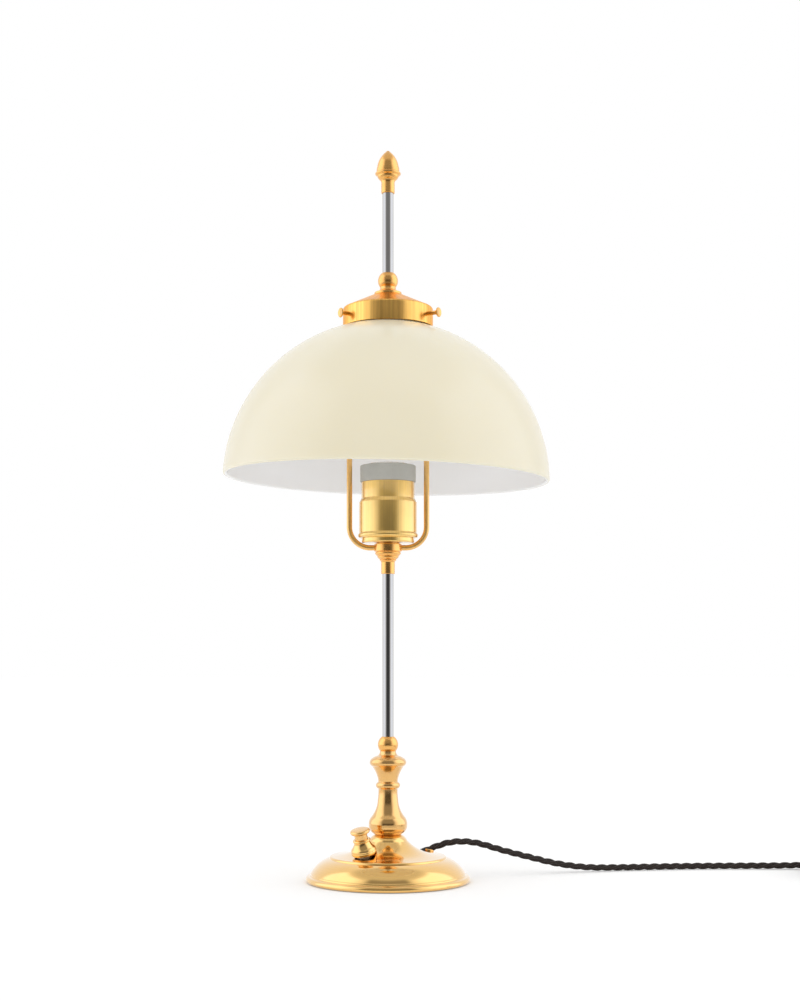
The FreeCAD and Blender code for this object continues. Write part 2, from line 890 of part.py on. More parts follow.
def switch_seat():
    """Where the switch's axis meets the base, and that axis."""
    at = at_angle(switch_radius_out, switch_angle, base_surface(switch_radius_out))
    t = math.radians(switch_tilt)
    axis = at_angle(math.sin(t), switch_angle, math.cos(t))
    return at, axis


def make_switch():
    seat = switch_seat()
    foot = bell_lift
    top = foot + bell_height
    ring = top - bell_ring_height
    w = bell_wall
    neck_bore = button_neck_radius + fit
    bell = turned(
        [
            (bell_foot_radius - w, foot),
            (bell_foot_radius, foot),
            (bell_radius, foot + 2.6, 0.3),
            (bell_radius - 1.0, foot + 5.0, 0.25),
            (bell_waist_radius, ring - 0.4, -0.14),
            (bell_ring_radius, ring, -0.2),
            (bell_ring_radius, top - 0.2, 0.5),
            (bell_ring_radius - 0.4, top, 0.3),
            (neck_bore, top),
            (neck_bore, ring - 1.4),
            (bush_radius + fit, ring - 1.8),
            (bush_radius + fit, foot + 2.2),
            (bell_foot_radius - w, foot + 1.2),
        ]
    )
    base = base_solid(-fit)
    keep("switch_bell", placed(bell, *seat).cut(base))
    keep("switch_bush", placed(tube(bush_radius, -bush_below, bush_above, bush_bore), *seat))
    nut_top = -wall - 3 * slack
    t = switch_nut_thickness
    nut = hex_nut(switch_nut_flats, nut_top - t, t, bush_radius + fit)
    keep("switch_nut", placed(nut, *seat))

    body_top = -bush_below
    stem_depth = body_top - button_travel - 3.0
    body = tube(switch_body_radius, body_top - switch_body_length, body_top)
    body = body.cut(tube(button_stem_radius + fit, stem_depth - slack, body_top))
    keep("switch_body", placed(body, *seat))

    neck_foot = bush_above + button_travel + slack
    cap = top + button_reach
    cap_top = cap + button_cap_thickness
    flat = button_cap_radius - 0.9
    dome = 0.4
    button = turned(
        [
            (0, stem_depth + button_travel),
            (button_stem_radius, stem_depth + button_travel),
            (button_stem_radius, neck_foot),
            (button_neck_radius, neck_foot),
            (button_neck_radius, cap - 0.6),
            (button_neck_radius + 0.5, cap, -0.3),
            (flat, cap),
            (flat, cap_top - dome, 0.85),
            (0, cap_top, cap_bulge(flat, dome)),
        ]
    )
    keep("switch_button", placed(button, *seat))

    low = body_top + spring_wire + slack / 2
    high = neck_foot - spring_wire - slack / 2
    pitch = (high - low) / spring_turns
    helix = Part.makeHelix(pitch, high - low, spring_radius)
    helix.translate(V(0, 0, low))
    spring = swept(Part.Wire(helix.Edges), spring_wire)
    keep("switch_spring", placed(spring, *seat))


# ---------------------------------------------------------------- cord
def exit_direction():
    return (lead_points[1] - lead_points[0]).normalize()


def grommet_seat():
    """Where the cord's eyelet stands on the base, and its axis, square to the surface."""
    along = exit_direction()
    at = exit_point + along * grommet_radius * 0.4
    radius = math.hypot(at.x, at.y)
    slope = (base_surface_flat(radius - 1) - base_surface_flat(radius + 1)) / 2
    out = V(at.x / radius, at.y / radius, 0)
    axis = (out * (slope + 0.1) + UP).normalize()
    return V(at.x, at.y, base_surface_flat(radius)), axis


def base_surface_flat(radius):
    """Height of the base between its step and its collar, measured on the solid outline."""
    line = Part.makeLine(V(radius, 0, shoulder_height - 5), V(radius, 0, 2 * base_height))
    hit = outline([(0, foot_lift)] + base_outline(0) + [(0, base_height)]).common(line)
    return hit.BoundBox.ZMax


def cord_hole():
    """A slanting hole that the cord runs through, from inside the base out."""
    along = exit_direction()
    start = exit_point - along * inner_cord_length
    return Part.makeCylinder(cord_radius + fit, inner_cord_length + 12, start, along)


def make_grommet():
    at, axis = grommet_seat()
    bore = grommet_radius - grommet_wall
    points = [
        (bore, -wall - 1.5),
        (bore + 0.0, grommet_stand - 0.4),
        (bore + 0.4, grommet_stand, -0.3),
        (grommet_radius - 0.3, grommet_stand - 0.2),
        (grommet_radius, grommet_stand - 0.7, -0.3),
        (grommet_radius, -0.6),
        (grommet_radius - 0.4, -0.6),
        (grommet_radius - 0.4, -wall - 1.5),
    ]
    ring = placed(turned(points), at, axis).cut(cord_hole())
    keep("cord_grommet", ring)
    seat = placed(tube(grommet_radius + fit, -4 * wall, wall), at, axis)
    keep("base_shell", nodes["base_shell"].cut(seat))


def make_inner_cord(weight_top):
    """The cord's end inside the base, and its clamp on the weight."""
    along = exit_direction()
    inner_end = exit_point - along * inner_cord_length
    keep("cord_inner_end", Part.makeCylinder(cord_radius, inner_cord_length, inner_end, along))

    middle = exit_point - along * (inner_cord_length - 0.6 * clamp_length)
    flat = V(along.x, along.y, 0).normalize()
    block = Part.makeBox(
        clamp_length, clamp_width, clamp_height, V(-clamp_length / 2, -clamp_width / 2, 0)
    )
    heading = math.degrees(math.atan2(flat.y, flat.x))
    block = placed(block, V(middle.x, middle.y, weight_top), UP, heading)
    keep("cord_clamp", block.cut(cord_hole()))


def make_wires():
    """Insulated wires: the cord's live core to the switch, and three up the stem to the
    lampholder. Live comes from the switch's side of the tie tube, the others from the cord's."""
    level = window_height
    top = hub_top() + insert_bottom - terminal_head / 2
    names = ("wire_live", "wire_neutral", "wire_earth")
    for name, degrees in zip(names, terminal_angles()):
        side = feed_angle + 180.0 if name == "wire_live" else feed_angle
        inward = at_angle(-1, side)
        place = at_angle(wire_spread, degrees)
        deep = place.dot(inward * -1)
        across = place + inward * deep
        corner = across - inward * deep + V(0, 0, level + deep)
        start = corner - inward * ((live_feed if name == "wire_live" else wire_feed) - deep)
        high = place + V(0, 0, top)
        end = at_angle(terminal_offset - 2 * terminal_radius - slack, degrees, top)
        keep(name, swept(bent_path([start, corner, high, end], wire_bend - deep), wire_radius))

    seat, axis = switch_seat()
    depth = (seat.z - level) / axis.z
    body = V(seat.x, seat.y, 0) - V(axis.x, axis.y, 0) * depth
    reach = switch_body_radius + slack + wire_radius
    feed = [
        at_angle(wire_feed + 1.5, feed_angle - 14, level - wire_radius),
        at_angle(wire_feed - 2.0, feed_angle - 60, level - wire_radius),
        at_angle(wire_feed - 2.0, feed_angle - 110, level - wire_radius),
        V(body.x + reach, body.y, level - wire_radius),
    ]
    keep("wire_switch_feed", swept(bent_path(feed, 3 * wire_bend), wire_radius))


def coil_offsets():
    """The coil's half turns: how far each is from the middle radius, in half pitches, and how
    many layers it climbs. The cord winds in, climbs, winds out, climbs, in and out again."""
    turns = []
    for layer, way in enumerate((1, -1, 1, -1)):
        turns += [(way * k, 0) for k in (1, 0, -1)]
        if layer < 3:
            turns.append((-2 * way, 1))
    return turns


def coil_wire(start, middle_radius):
    """The coil's centre line: a quarter turn, half turns on one line, and a quarter turn."""
    half = turn_pitch / 2
    outer = middle_radius + 2 * half
    corner = start + V(outer, -outer, 0)
    swing = outer * math.sqrt(0.5)
    edges = [Part.Arc(start, start + V(swing, swing - outer, 0), corner).toShape()]
    here = corner
    way = -1
    for offset, climb in coil_offsets():
        radius = middle_radius + offset * half
        there = here + V(way * 2 * radius, 0, climb * turn_pitch)
        bow = (here + there) * 0.5 + V(0, way * (there - here).Length / 2, 0)
        edges.append(Part.Arc(here, bow, there).toShape())
        here = there
        way = -way
    end = here + V(outer, outer, 0)
    edges.append(Part.Arc(here, here + V(outer - swing, swing, 0), end).toShape())
    return Part.Wire(edges), end, corner - V(outer, 0, 0)


def least_gap(wire, radius):
    """The least distance between two stretches of a coiled tube, measured on points."""
    points = wire.discretize(Distance=2.0)
    apart = int(4 * radius * math.pi / 2.0)
    least = 1e9
    for i, p in enumerate(points):
        for q in points[i + apart :]:
            least = min(least, p.distanceToPoint(q))
    return least - 2 * radius


def make_cord():
    lead = bent_path(lead_points, name="cord lead")
    keep("cord_lead", swept(lead, cord_radius, "cord lead"))
    start = lead_points[-1]
    tail_length = bent_path(tail_steps).Length
    half_turns = len(coil_offsets()) + 1
    middle = (cord_length - lead.Length - tail_length) / (half_turns * math.pi)
    wire, end, centre = coil_wire(start, middle)
    keep("cord_coil", swept(wire, cord_radius, "cord coil"))
    tail_points = [end + step for step in tail_steps]
    tail = bent_path(tail_points, name="cord tail")
    keep("cord_tail", swept(tail, cord_radius, "cord tail"))
    gap = least_gap(wire, cord_radius)
    print("coil middle radius", round(middle, 2), "gap to itself", round(gap, 2))
    print("whole cord", round(lead.Length + wire.Length + tail.Length, 1))

    inner = middle - turn_pitch - cord_radius - slack - turn_pitch / 2
    outer = middle + turn_pitch + cord_radius + slack + turn_pitch / 2
    low = start.z - cord_radius - slack
    high = start.z + 3 * turn_pitch + cord_radius + slack
    t = tie_strap_thickness
    strap = rounded_bar(inner - t, outer + t, low - t, high + t, 1.7 + t)
    strap = strap.cut(rounded_bar(inner, outer, low, high, 1.7))
    strap.translate(V(centre.x - tie_strap_width / 2, centre.y, 0))
    keep("coil_tie", strap)
    return tail_points


def rounded_bar(inner, outer, low, high, corner):
    """A bar along X as wide as the tie, between two distances towards the front."""
    bar = Part.makeBox(tie_strap_width, outer - inner, high - low, V(0, -outer, low))
    long_edges = [e for e in bar.Edges if abs(e.tangentAt(e.FirstParameter).x) > 0.99]
    return bar.makeFillet(corner, long_edges)


# ---------------------------------------------------------------- plug
def make_plug(tail_points):
    at = tail_points[-1]
    axis = (tail_points[-1] - tail_points[-2]).normalize()
    axis = V(axis.x, axis.y, 0).normalize()
    total = plug_sleeve_length + plug_body_length
    rear = plug_sleeve_length
    face = total - plug_face_length
    body = turned(
        [
            (0, 0),
            (plug_sleeve_radius - 0.6, 0),
            (plug_sleeve_radius, 0.6, 0.4),
            (plug_sleeve_radius + 1.2, rear),
            (plug_grip_radius - 3.0, rear + 1.5, -0.2),
            (plug_grip_radius, rear + 6.0, 0.25),
            (plug_grip_radius + 0.6, face - 5.0),
            (plug_radius - 1.2, face, -0.2),
            (plug_radius, face + 1.5, 0.3),
            (plug_radius, total - 0.8),
            (plug_radius - 0.8, total, 0.4),
            (plug_recess_radius, total),
            (plug_recess_radius, total - plug_recess_depth),
            (0, total - plug_recess_depth),
        ]
    )
    floor = total - plug_recess_depth
    core = tube(plug_recess_radius - 1.6, floor - 1, total)
    width = clip_width + 2
    slot = Part.makeBox(width, 2 * plug_radius, plug_recess_depth, V(-width / 2, -plug_radius, floor))
    body = body.fuse(core).cut(slot.cut(tube(plug_recess_radius - 3.2, floor, total)))
    hole = tube(earth_hole_radius, total - earth_hole_depth, total)
    body = body.cut(placed(hole, V(0, earth_hole_offset, 0), UP))
    for side in (1, -1):
        x = side * pin_spacing / 2
        body = body.cut(Part.makeCylinder(pin_root_radius + fit, pin_root, V(x, 0, total - pin_root)))
    body = body.removeSplitter()
    keep("plug_body", placed(body, at, axis))

    pins = []
    edge = 0.8
    for side in (1, -1):
        pin = turned(
            [
                (0, total - pin_root),
                (pin_root_radius, total - pin_root),
                (pin_root_radius, total + slack),
                (pin_radius, total + slack),
                (pin_radius, total + pin_length - 2 * edge),
                (pin_radius - edge, total + pin_length, 0.3),
                (0, total + pin_length),
            ]
        )
        pin.translate(V(side * pin_spacing / 2, 0, 0))
        pins.append(pin)
    keep("plug_pins", placed(Part.makeCompound(pins), at, axis))

    clips = []
    for side in (1, -1):
        y = side * (plug_recess_radius - 2.2)
        corner = V(-clip_width / 2, y - clip_thickness / 2, floor + slack)
        clips.append(Part.makeBox(clip_width, clip_thickness, plug_recess_depth - 1, corner))
    keep("plug_earth_clips", placed(Part.makeCompound(clips), at, axis))


def main():
    weight_top = make_base()
    make_baluster()
    make_lower_ball_nut()
    make_hub()
    make_bow()
    make_lampholder()
    make_gallery()
    make_thumbscrews()
    sleeve = make_gallery_ball_nut()
    make_finial(sleeve)
    make_shade()
    make_switch()
    make_grommet()
    make_inner_cord(weight_top)
    make_wires()
    make_plug(make_cord())
    os.makedirs("parts", exist_ok=True)
    for name, shape in nodes.items():
        shape.exportStep(f"parts/{name}.step")
    print(len(nodes), "nodes")


main()
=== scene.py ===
# %% [markdown]
# # A dome shade desk lamp
# This lesson dresses a finished CAD model of a brass table lamp. The CAD side settles every
# size and every moving piece. Here each visible piece gets a smooth surface, worked out from
# the same sizes with numpy, and a finish made of shader nodes.
#
# The frame has to be loaded first, because every piece rides on one of its bodies.

# %% Load the frame
import math

import bpy
import numpy as np
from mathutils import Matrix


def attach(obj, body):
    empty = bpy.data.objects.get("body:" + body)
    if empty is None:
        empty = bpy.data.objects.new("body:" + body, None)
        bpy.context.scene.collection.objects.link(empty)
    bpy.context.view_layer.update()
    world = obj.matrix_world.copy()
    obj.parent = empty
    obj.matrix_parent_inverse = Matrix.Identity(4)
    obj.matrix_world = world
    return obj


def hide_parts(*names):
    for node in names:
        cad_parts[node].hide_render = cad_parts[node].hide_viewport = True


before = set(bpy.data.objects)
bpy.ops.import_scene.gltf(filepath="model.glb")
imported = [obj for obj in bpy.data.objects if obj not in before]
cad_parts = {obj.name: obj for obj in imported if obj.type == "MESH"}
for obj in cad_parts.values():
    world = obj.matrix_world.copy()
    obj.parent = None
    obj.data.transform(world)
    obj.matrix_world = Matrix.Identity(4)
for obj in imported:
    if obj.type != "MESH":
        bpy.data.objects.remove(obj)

MM, MICRON = 0.001, 0.000001
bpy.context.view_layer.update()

# %% [markdown]
# ## The camera
# A product photograph of a tall lamp is usually taken level, from a little over a metre, with
# the camera's back upright so that the stem doesn't lean. The lamp then sits high in the
# picture through a vertical shift of the lens, not through a tilt. A tilted camera would be
# simpler, but it would make the rods converge.

# %% Set the camera
def placed(name, data):
    """A new object with that data, in the scene."""
    piece = bpy.data.objects.new(name, data)
    bpy.context.scene.collection.objects.link(piece)
    return piece


lens_data = bpy.data.cameras.new("photo_camera")
lens_data.lens = 56.4
lens_data.sensor_width = 36
lens_data.shift_x = 0.012
lens_data.shift_y = 0.1525
camera = placed("photo_camera", lens_data)
camera.location = (0, -1.130, 0.165)
camera.rotation_euler = (math.radians(90), 0, 0)
bpy.context.scene.camera = camera
print("camera", tuple(camera.location))

# %% [markdown]
# ## Shader maths as sums
# A finish is easier to read as a sum than as a picture of nodes. `Value` wraps one output of a
# node, and each operator on it adds the Math node that does the work. `Board` is a node tree
# with one method for every other node. The alternative, linking nodes one by one, takes five
# lines for each step and hides the formula.

# %% Wrap one socket
class Value:
    """One output of a node. Arithmetic on it adds Math nodes behind it."""

    def __init__(self, board, socket):
        self.board = board
        self.socket = socket

    def maths(self, operation, *others):
        sockets = {i: v for i, v in enumerate((self,) + others)}
        return self.board.node("ShaderNodeMath", {"operation": operation}, sockets)

    def __add__(self, other):
        return self.maths("ADD", other)

    def __sub__(self, other):
        return self.maths("SUBTRACT", other)

    def __mul__(self, other):
        return self.maths("MULTIPLY", other)

    def __truediv__(self, other):
        return self.maths("DIVIDE", other)

    def __pow__(self, other):
        return self.maths("POWER", other)

    def __rsub__(self, other):
        return self.board.node("ShaderNodeMath", {"operation": "SUBTRACT"}, {0: other, 1: self})

    __radd__ = __add__


print("sums on sockets ready")

# %% Wrap a node tree
class Board:
    """A node tree, and the few moves that every finish here is made of."""

    def __init__(self, tree):
        self.tree = tree
        tree.nodes.clear()

    def node(self, kind, settings=None, sockets=None, output=0):
        """Add a node: its settings first, then a value or a link for each named socket."""
        made = self.tree.nodes.new(kind)
        for key, value in (settings or {}).items():
            setattr(made, key, value)
        for key, value in (sockets or {}).items():
            if isinstance(value, Value):
                self.tree.links.new(value.socket, made.inputs[key])
            else:
                made.inputs[key].default_value = value
        return Value(self, made.outputs[output])

    def blend(self, low, high, share):
        """The colour low where share is 0, high where it is 1."""
        sockets = {0: share, 6: low, 7: high}
        return self.node("ShaderNodeMix", {"data_type": "RGBA"}, sockets, 2)

    def tinted(self, colour, by):
        """One colour multiplied by another."""
        sockets = {0: 1.0, 6: colour, 7: by}
        settings = {"data_type": "RGBA", "blend_type": "MULTIPLY"}
        return self.node("ShaderNodeMix", settings, sockets, 2)

    def between(self, value, low, high, start=0.0, end=1.0):
        """A smooth step: start below low, end above high."""
        settings = {"interpolation_type": "SMOOTHSTEP"}
        sockets = {0: value, 1: low, 2: high, 3: start, 4: end}
        return self.node("ShaderNodeMapRange", settings, sockets)

    def point(self):
        """The point on the piece, in metres."""
        return self.node("ShaderNodeTexCoord", output="Object")

    def parts(self, vector):
        """The x, y and z of a vector."""
        split = self.tree.nodes.new("ShaderNodeSeparateXYZ")
        self.tree.links.new(vector.socket, split.inputs[0])
        return [Value(self, output) for output in split.outputs]

    def vector(self, x, y, z):
        return self.node("ShaderNodeCombineXYZ", {}, {0: x, 1: y, 2: z})

    def noise(self, vector, scale, detail=2.0, roughness=0.5):
        """Soft noise around 0.5, its grain about 1 / scale of the vector's unit."""
        sockets = {"Vector": vector, "Scale": scale, "Detail": detail, "Roughness": roughness}
        return self.node("ShaderNodeTexNoise", {}, sockets)

    def show(self, socket, kind="ShaderNodeOutputMaterial"):
        """Link a shader's socket to the tree's output."""
        self.tree.links.new(socket, self.tree.nodes.new(kind).inputs[0])

    def bump(self, height, depth):
        """A normal bent by a height of 0 to 1 that stands for a depth in metres."""
        sockets = {"Height": height, "Distance": depth, "Strength": 1.0}
        return self.node("ShaderNodeBump", {}, sockets)


print("node trees ready")

# %% Wrap a material
class Finish(Board):
    """A material with one Principled shader."""

    def __init__(self, name, **constants):
        self.material = bpy.data.materials.new(name)
        self.material.use_nodes = True
        super().__init__(self.material.node_tree)
        self.shader = self.tree.nodes.new("ShaderNodeBsdfPrincipled")
        self.show(self.shader.outputs[0])
        self.set(**constants)

    def set(self, **sockets):
        """Give the shader's sockets their values: Base_Color=..., Roughness=... and so on."""
        for key, value in sockets.items():
            socket = self.shader.inputs[key.replace("_", " ")]
            if isinstance(value, Value):
                self.tree.links.new(value.socket, socket)
            else:
                socket.default_value = value
        return self


def shade(red, green, blue, level=1.0):
    """A colour with its alpha, made darker or brighter by a level."""
    return (red * level, green * level, blue * level, 1.0)


print("materials ready")

# %% [markdown]
# ## Brass
# The lamp's metal is lacquered brass in several states: turned pieces with faint rings from
# the lathe, a spun base, a pressed lampholder, a satin bow and button, and a gallery brushed
# upright. They differ in gloss, in how red the alloy is and in their marks, so one function
# makes them all. The lacquer is a coat, and with the metal's own edge it turns the brass pale
# where it is seen at a flat angle. A texture picture could show the marks, but it would need
# unwrapping and would blur in a close view.

# %% How brass is made, and its marks
def brass(name, tint, rough, marks, depth, cloud=0.06, ridge_shading=0.03, lacquer=1.0, edge=1.0):
    """Lacquered brass. The tint drifts in soft clouds and darkens a touch in patches. It also
    carries painted shade in the low lines of the tool's marks and a painted highlight on their
    high lines, as strong as ridge_shading. The roughness follows finer clouds, and marks() gives
    the height of the marks, around 0.5. At a flat angle the bare metal turns copper where edge is
    0 and white where it is 1."""
    f = Finish(name, Metallic=1.0, Coat_Weight=lacquer, Coat_Roughness=0.07, Coat_IOR=1.65)
    f.set(Specular_Tint=shade(*[c + (1 - c) * edge for c in (1.0, 0.6, 0.3)]))
    point = f.point()
    patches = f.between(f.noise(point, 90.0, 4.0, 0.62), 0.50, 0.72)
    height = marks(f, point)
    # painted shade in the low lines of the tool's marks and a painted highlight on their high
    # lines
    high_line = f.between(height, 0.36, 0.64)
    ridge_shaded_tint = f.blend(shade(*tint, 1 - ridge_shading), shade(*tint, 1 + ridge_shading), high_line)
    cloudy = f.blend(shade(0.95, 0.94, 0.92), shade(1.0, 1.0, 1.0), f.noise(point, 34.0, 3.0))
    dull = shade(tint[0] * 0.8, tint[1] * 0.7, tint[2] * 0.6)
    fine = f.noise(point, 700.0, 2.0)
    f.set(
        Base_Color=f.blend(f.tinted(ridge_shaded_tint, cloudy), dull, patches * cloud * 3),
        Roughness=rough + (fine - 0.5) * 0.05 + patches * cloud,
        Normal=f.bump(height, depth),
    )
    return f.material


def lathe_rings(f, point):
    """Marks of a cutting tool: noise that changes only along the axis, in 0.3 mm steps."""
    x, y, z = f.parts(point)
    return f.noise(f.vector(x * 8, y * 8, z * 3200), 1.0, 3.0)


def spin_rings(f, point):
    """Marks of spinning: noise that changes with the distance from the axis."""
    x, y, z = f.parts(point)
    reach = (x * x + y * y) ** 0.5
    return f.noise(f.vector(reach * 1500, z * 900, 0.0), 1.0, 3.0)


def upright_brushing(f, point):
    """Lines that run up: noise over the unit vector (x, y) / r, so that it has no seam, and
    drawn out long in z."""
    x, y, z = f.parts(point)
    reach = (x * x + y * y) ** 0.5
    u, v = x / reach, y / reach
    broad = f.noise(f.vector(u * 17, v * 17, z * 9), 1.0, 2.0)
    thin = f.noise(f.vector(u * 60, v * 60, z * 25), 1.0, 3.0, 0.6)
    return broad * 0.6 + thin * 0.4


def soft_orange_peel(f, point):
    """The faint unevenness of a rubbed surface, about 2 mm across."""
    return f.noise(point, 420.0, 2.0)


print("ways to mark brass: 4")

# %% Mix the seven brasses
turned_brass = brass(
    "turned_brass", (0.93, 0.490, 0.125), 0.24, lathe_rings, 1.4 * MICRON, lacquer=0.5
)
bright_brass = brass("bright_brass", (0.84, 0.475, 0.135), 0.15, lathe_rings, 1.0 * MICRON)
spun_brass = brass(
    "spun_brass", (0.91, 0.555, 0.155), 0.10, spin_rings, 0.4 * MICRON, cloud=0.03, ridge_shading=0.01
)
bent_brass = brass("bent_brass", (0.97, 0.58, 0.170), 0.44, soft_orange_peel, 3 * MICRON)
pressed_brass = brass(
    "pressed_brass", (0.96, 0.63, 0.175), 0.33, upright_brushing, 10 * MICRON,
    cloud=0.03, ridge_shading=0.06,
)
gallery_brass = brass(
    "gallery_brass", (0.96, 0.545, 0.135), 0.30, upright_brushing, 30 * MICRON,
    cloud=0.03, ridge_shading=0.17, lacquer=0.2, edge=0.2,
)
satin_brass = brass(
    "satin_brass", (0.92, 0.55, 0.165), 0.30, soft_orange_peel, 5 * MICRON, cloud=0.08
)
print("brass finishes: 7")

# %% [markdown]
# ## Steel, nickel, iron
# The two long rods are ground and polished steel. Their plating is nearly grey, with faint
# rings. The socket's shell and the plug's pins are nickel plated, the nuts and plates are zinc
# plated, and the weight inside is rough cast iron.

# %% Grey metals
def steel(name, tint, rough, scale, depth, stretch):
    """Plated steel whose roughness drifts, with marks stretched across the axis."""
    f = Finish(name, Metallic=1.0)
    point = f.point()
    x, y, z = f.parts(point)
    drift = f.noise(point, 60.0, 3.0)
    lines = f.noise(f.vector(x * scale, y * scale, z * scale * stretch), 1.0, 3.0)
    f.set(
        Base_Color=f.blend(shade(*tint, 0.94), shade(*tint, 1.04), drift),
        Roughness=rough + (drift - 0.5) * 0.06,
        Normal=f.bump(lines, depth),
    )
    return f.material


polished_steel = steel("polished_steel", (0.485, 0.47, 0.45), 0.08, 90.0, 1.2 * MICRON, 30.0)
bright_nickel = steel("bright_nickel", (0.80, 0.78, 0.73), 0.14, 500.0, 2 * MICRON, 1.0)
zinc_steel = steel("zinc_steel", (0.62, 0.62, 0.62), 0.34, 900.0, 6 * MICRON, 1.0)

iron = Finish("cast_iron", Metallic=0.6)
grains = iron.noise(iron.point(), 520.0, 4.0, 0.7)
iron.set(
    Base_Color=iron.blend(shade(0.035, 0.035, 0.037), shade(0.09, 0.085, 0.08), grains),
    Roughness=0.62 + grains * 0.2,
    Normal=iron.bump(grains, 0.3 * MM),
)
print("grey metals: 4")

# %% [markdown]
# ## Glass and porcelain
# The dome is opal glass: white inside, cased in cream outside, glossy on both sides. Light
# spreads in a 3 mm opal wall but barely passes it, so it is drawn as a gloss over light that
# scatters under the skin. One material covers both sides, and the distance from the dome's own
# centre tells the outer skin from the inner one. The porcelain ring is unglazed, so it is matt
# and dusty.

# %% Opal glass and porcelain
dome_centre = (-1.4, 0.0, 285.3)
dome_radius, dome_wall = 117.6, 3.0


def opal_glass():
    """Cream where the point lies near the outer sphere, white nearer the inner one. Slow
    noise makes the casing a little uneven, as mouth-blown glass is."""
    f = Finish("opal_glass", IOR=1.5, Subsurface_Weight=1.0, Subsurface_Scale=dome_wall * MM)
    f.set(Subsurface_Radius=(1.0, 1.0, 1.0))
    point = f.point()
    x, y, z = f.parts(point)
    dx, dz = x - dome_centre[0] * MM, z - dome_centre[2] * MM
    reach = (dx * dx + y * y + dz * dz) ** 0.5
    within, beyond = [(dome_radius - share * dome_wall) * MM for share in (0.75, 0.35)]
    outside = f.between(reach, within, beyond)
    slow = f.noise(point, 14.0, 2.0)
    cream = f.blend(shade(0.812, 0.762, 0.602), shade(0.842, 0.796, 0.653), slow)
    white = f.blend(shade(0.925, 0.94, 0.96), shade(0.94, 0.955, 0.97), slow)
    ripple = f.noise(point, 38.0, 1.0)
    f.set(
        Base_Color=f.blend(white, cream, outside),
        Roughness=0.22 + (slow - 0.5) * 0.06,
        Normal=f.bump(ripple, 50 * MICRON),
    )
    return f.material


def matt_porcelain():
    """Warm grey with fine dust-like grain and a few pores."""
    f = Finish("matt_porcelain", IOR=1.5)
    point = f.point()
    grain = f.noise(point, 1100.0, 3.0, 0.6)
    cloud = f.noise(point, 120.0, 3.0)
    base = f.blend(shade(0.465, 0.455, 0.405), shade(0.54, 0.53, 0.48), cloud)
    f.set(
        Base_Color=f.blend(base, shade(0.38, 0.365, 0.32), f.between(grain, 0.58, 0.75) * 0.5),
        Roughness=0.72 + (grain - 0.5) * 0.2,
        Normal=f.bump(grain, 30 * MICRON),
    )
    return f.material


opal = opal_glass()
porcelain = matt_porcelain()
print("glass and porcelain ready")

# %% [markdown]
# ## Textile, plastic, rubber and felt
# The cord is three textile-covered cores twisted together. Its braid is far too fine to model,
# so it is a crossing of two diagonal waves on the cord's own UV map, where u runs round a core
# and v along it in metres. The plastics get a fine grain, the felt a fuzzy one.

# %% Soft and dark finishes
def braided_textile():
    """Two families of diagonal yarns: sin(a u + b v) and sin(a u - b v). The higher of the
    two is on top, which gives the over and under of a braid. The colour follows that height:
    painted shade in the grooves between the yarns, painted light on their crests, with random
    fuzz."""
    f = Finish("braided_textile", IOR=1.45, Sheen_Weight=0.12, Sheen_Roughness=0.5)
    f.set(Specular_IOR_Level=0.25)
    u, v = f.parts(f.node("ShaderNodeUVMap", {"uv_map": "along"}))[:2]
    yarns_round, per_metre = 9, 4200
    one = (u * (2 * math.pi * yarns_round) + v * per_metre).maths("SINE")
    other = (u * (2 * math.pi * yarns_round) - v * per_metre).maths("SINE")
    weave = one.maths("MAXIMUM", other) * 0.5 + 0.5
    point = f.point()
    fuzz = f.noise(point, 1800.0, 3.0, 0.7)
    drift = f.noise(point, 60.0, 2.0)
    # painted shade for the braid's grooves (dark) and painted light for the yarns' crests (lit)
    dark = f.blend(shade(0.010, 0.007, 0.006), shade(0.016, 0.011, 0.009), drift)
    lit = f.blend(shade(0.034, 0.023, 0.019), shade(0.048, 0.034, 0.028), drift)
    f.set(
        Base_Color=f.blend(dark, lit, weave * 0.7 + fuzz * 0.3),
        Roughness=0.80 + (fuzz - 0.5) * 0.2,
        Normal=f.bump(weave * 0.8 + fuzz * 0.3, 0.16 * MM),
    )
    return f.material


def plain(name, tint, rough, grain=900.0, depth=20 * MICRON, spread=0.12):
    """A single-coloured moulded or felted finish with grain in colour, gloss and height."""
    f = Finish(name, IOR=1.48)
    point = f.point()
    g = f.noise(point, grain, 3.0, 0.6)
    drift = g * 0.5 + f.noise(point, 45.0, 2.0) * 0.5
    f.set(
        Base_Color=f.blend(shade(*tint, 1 - spread), shade(*tint, 1 + spread), drift),
        Roughness=rough + (g - 0.5) * 0.16,
        Normal=f.bump(g, depth),
    )
    return f.material


textile = braided_textile()
dark_rubber = plain("dark_rubber", (0.022, 0.021, 0.021), 0.62)
dark_plastic = plain("dark_plastic", (0.030, 0.024, 0.022), 0.42)
felt = plain("felt", (0.030, 0.036, 0.030), 0.95, 2200.0, 0.3 * MM, 0.4)
brown_wire = plain("brown_wire", (0.10, 0.040, 0.018), 0.35)
blue_wire = plain("blue_wire", (0.02, 0.09, 0.32), 0.35)
green_wire = plain("green_wire", (0.10, 0.30, 0.03), 0.35)
print("soft finishes: 7")

# %% [markdown]
# ## Turned surfaces
# Almost every piece of this lamp came off a lathe or a spinning mandrel. Such a surface is a
# line in the half plane (r, z), turned about the axis. The line is written as the CAD writes
# it, by corner points and arcs, and then sampled and eased at its corners, because polished
# metal shows every edge as a thin bright line. A Screw modifier would turn the line too, but
# the arcs and the eased edges are worked out exactly here.

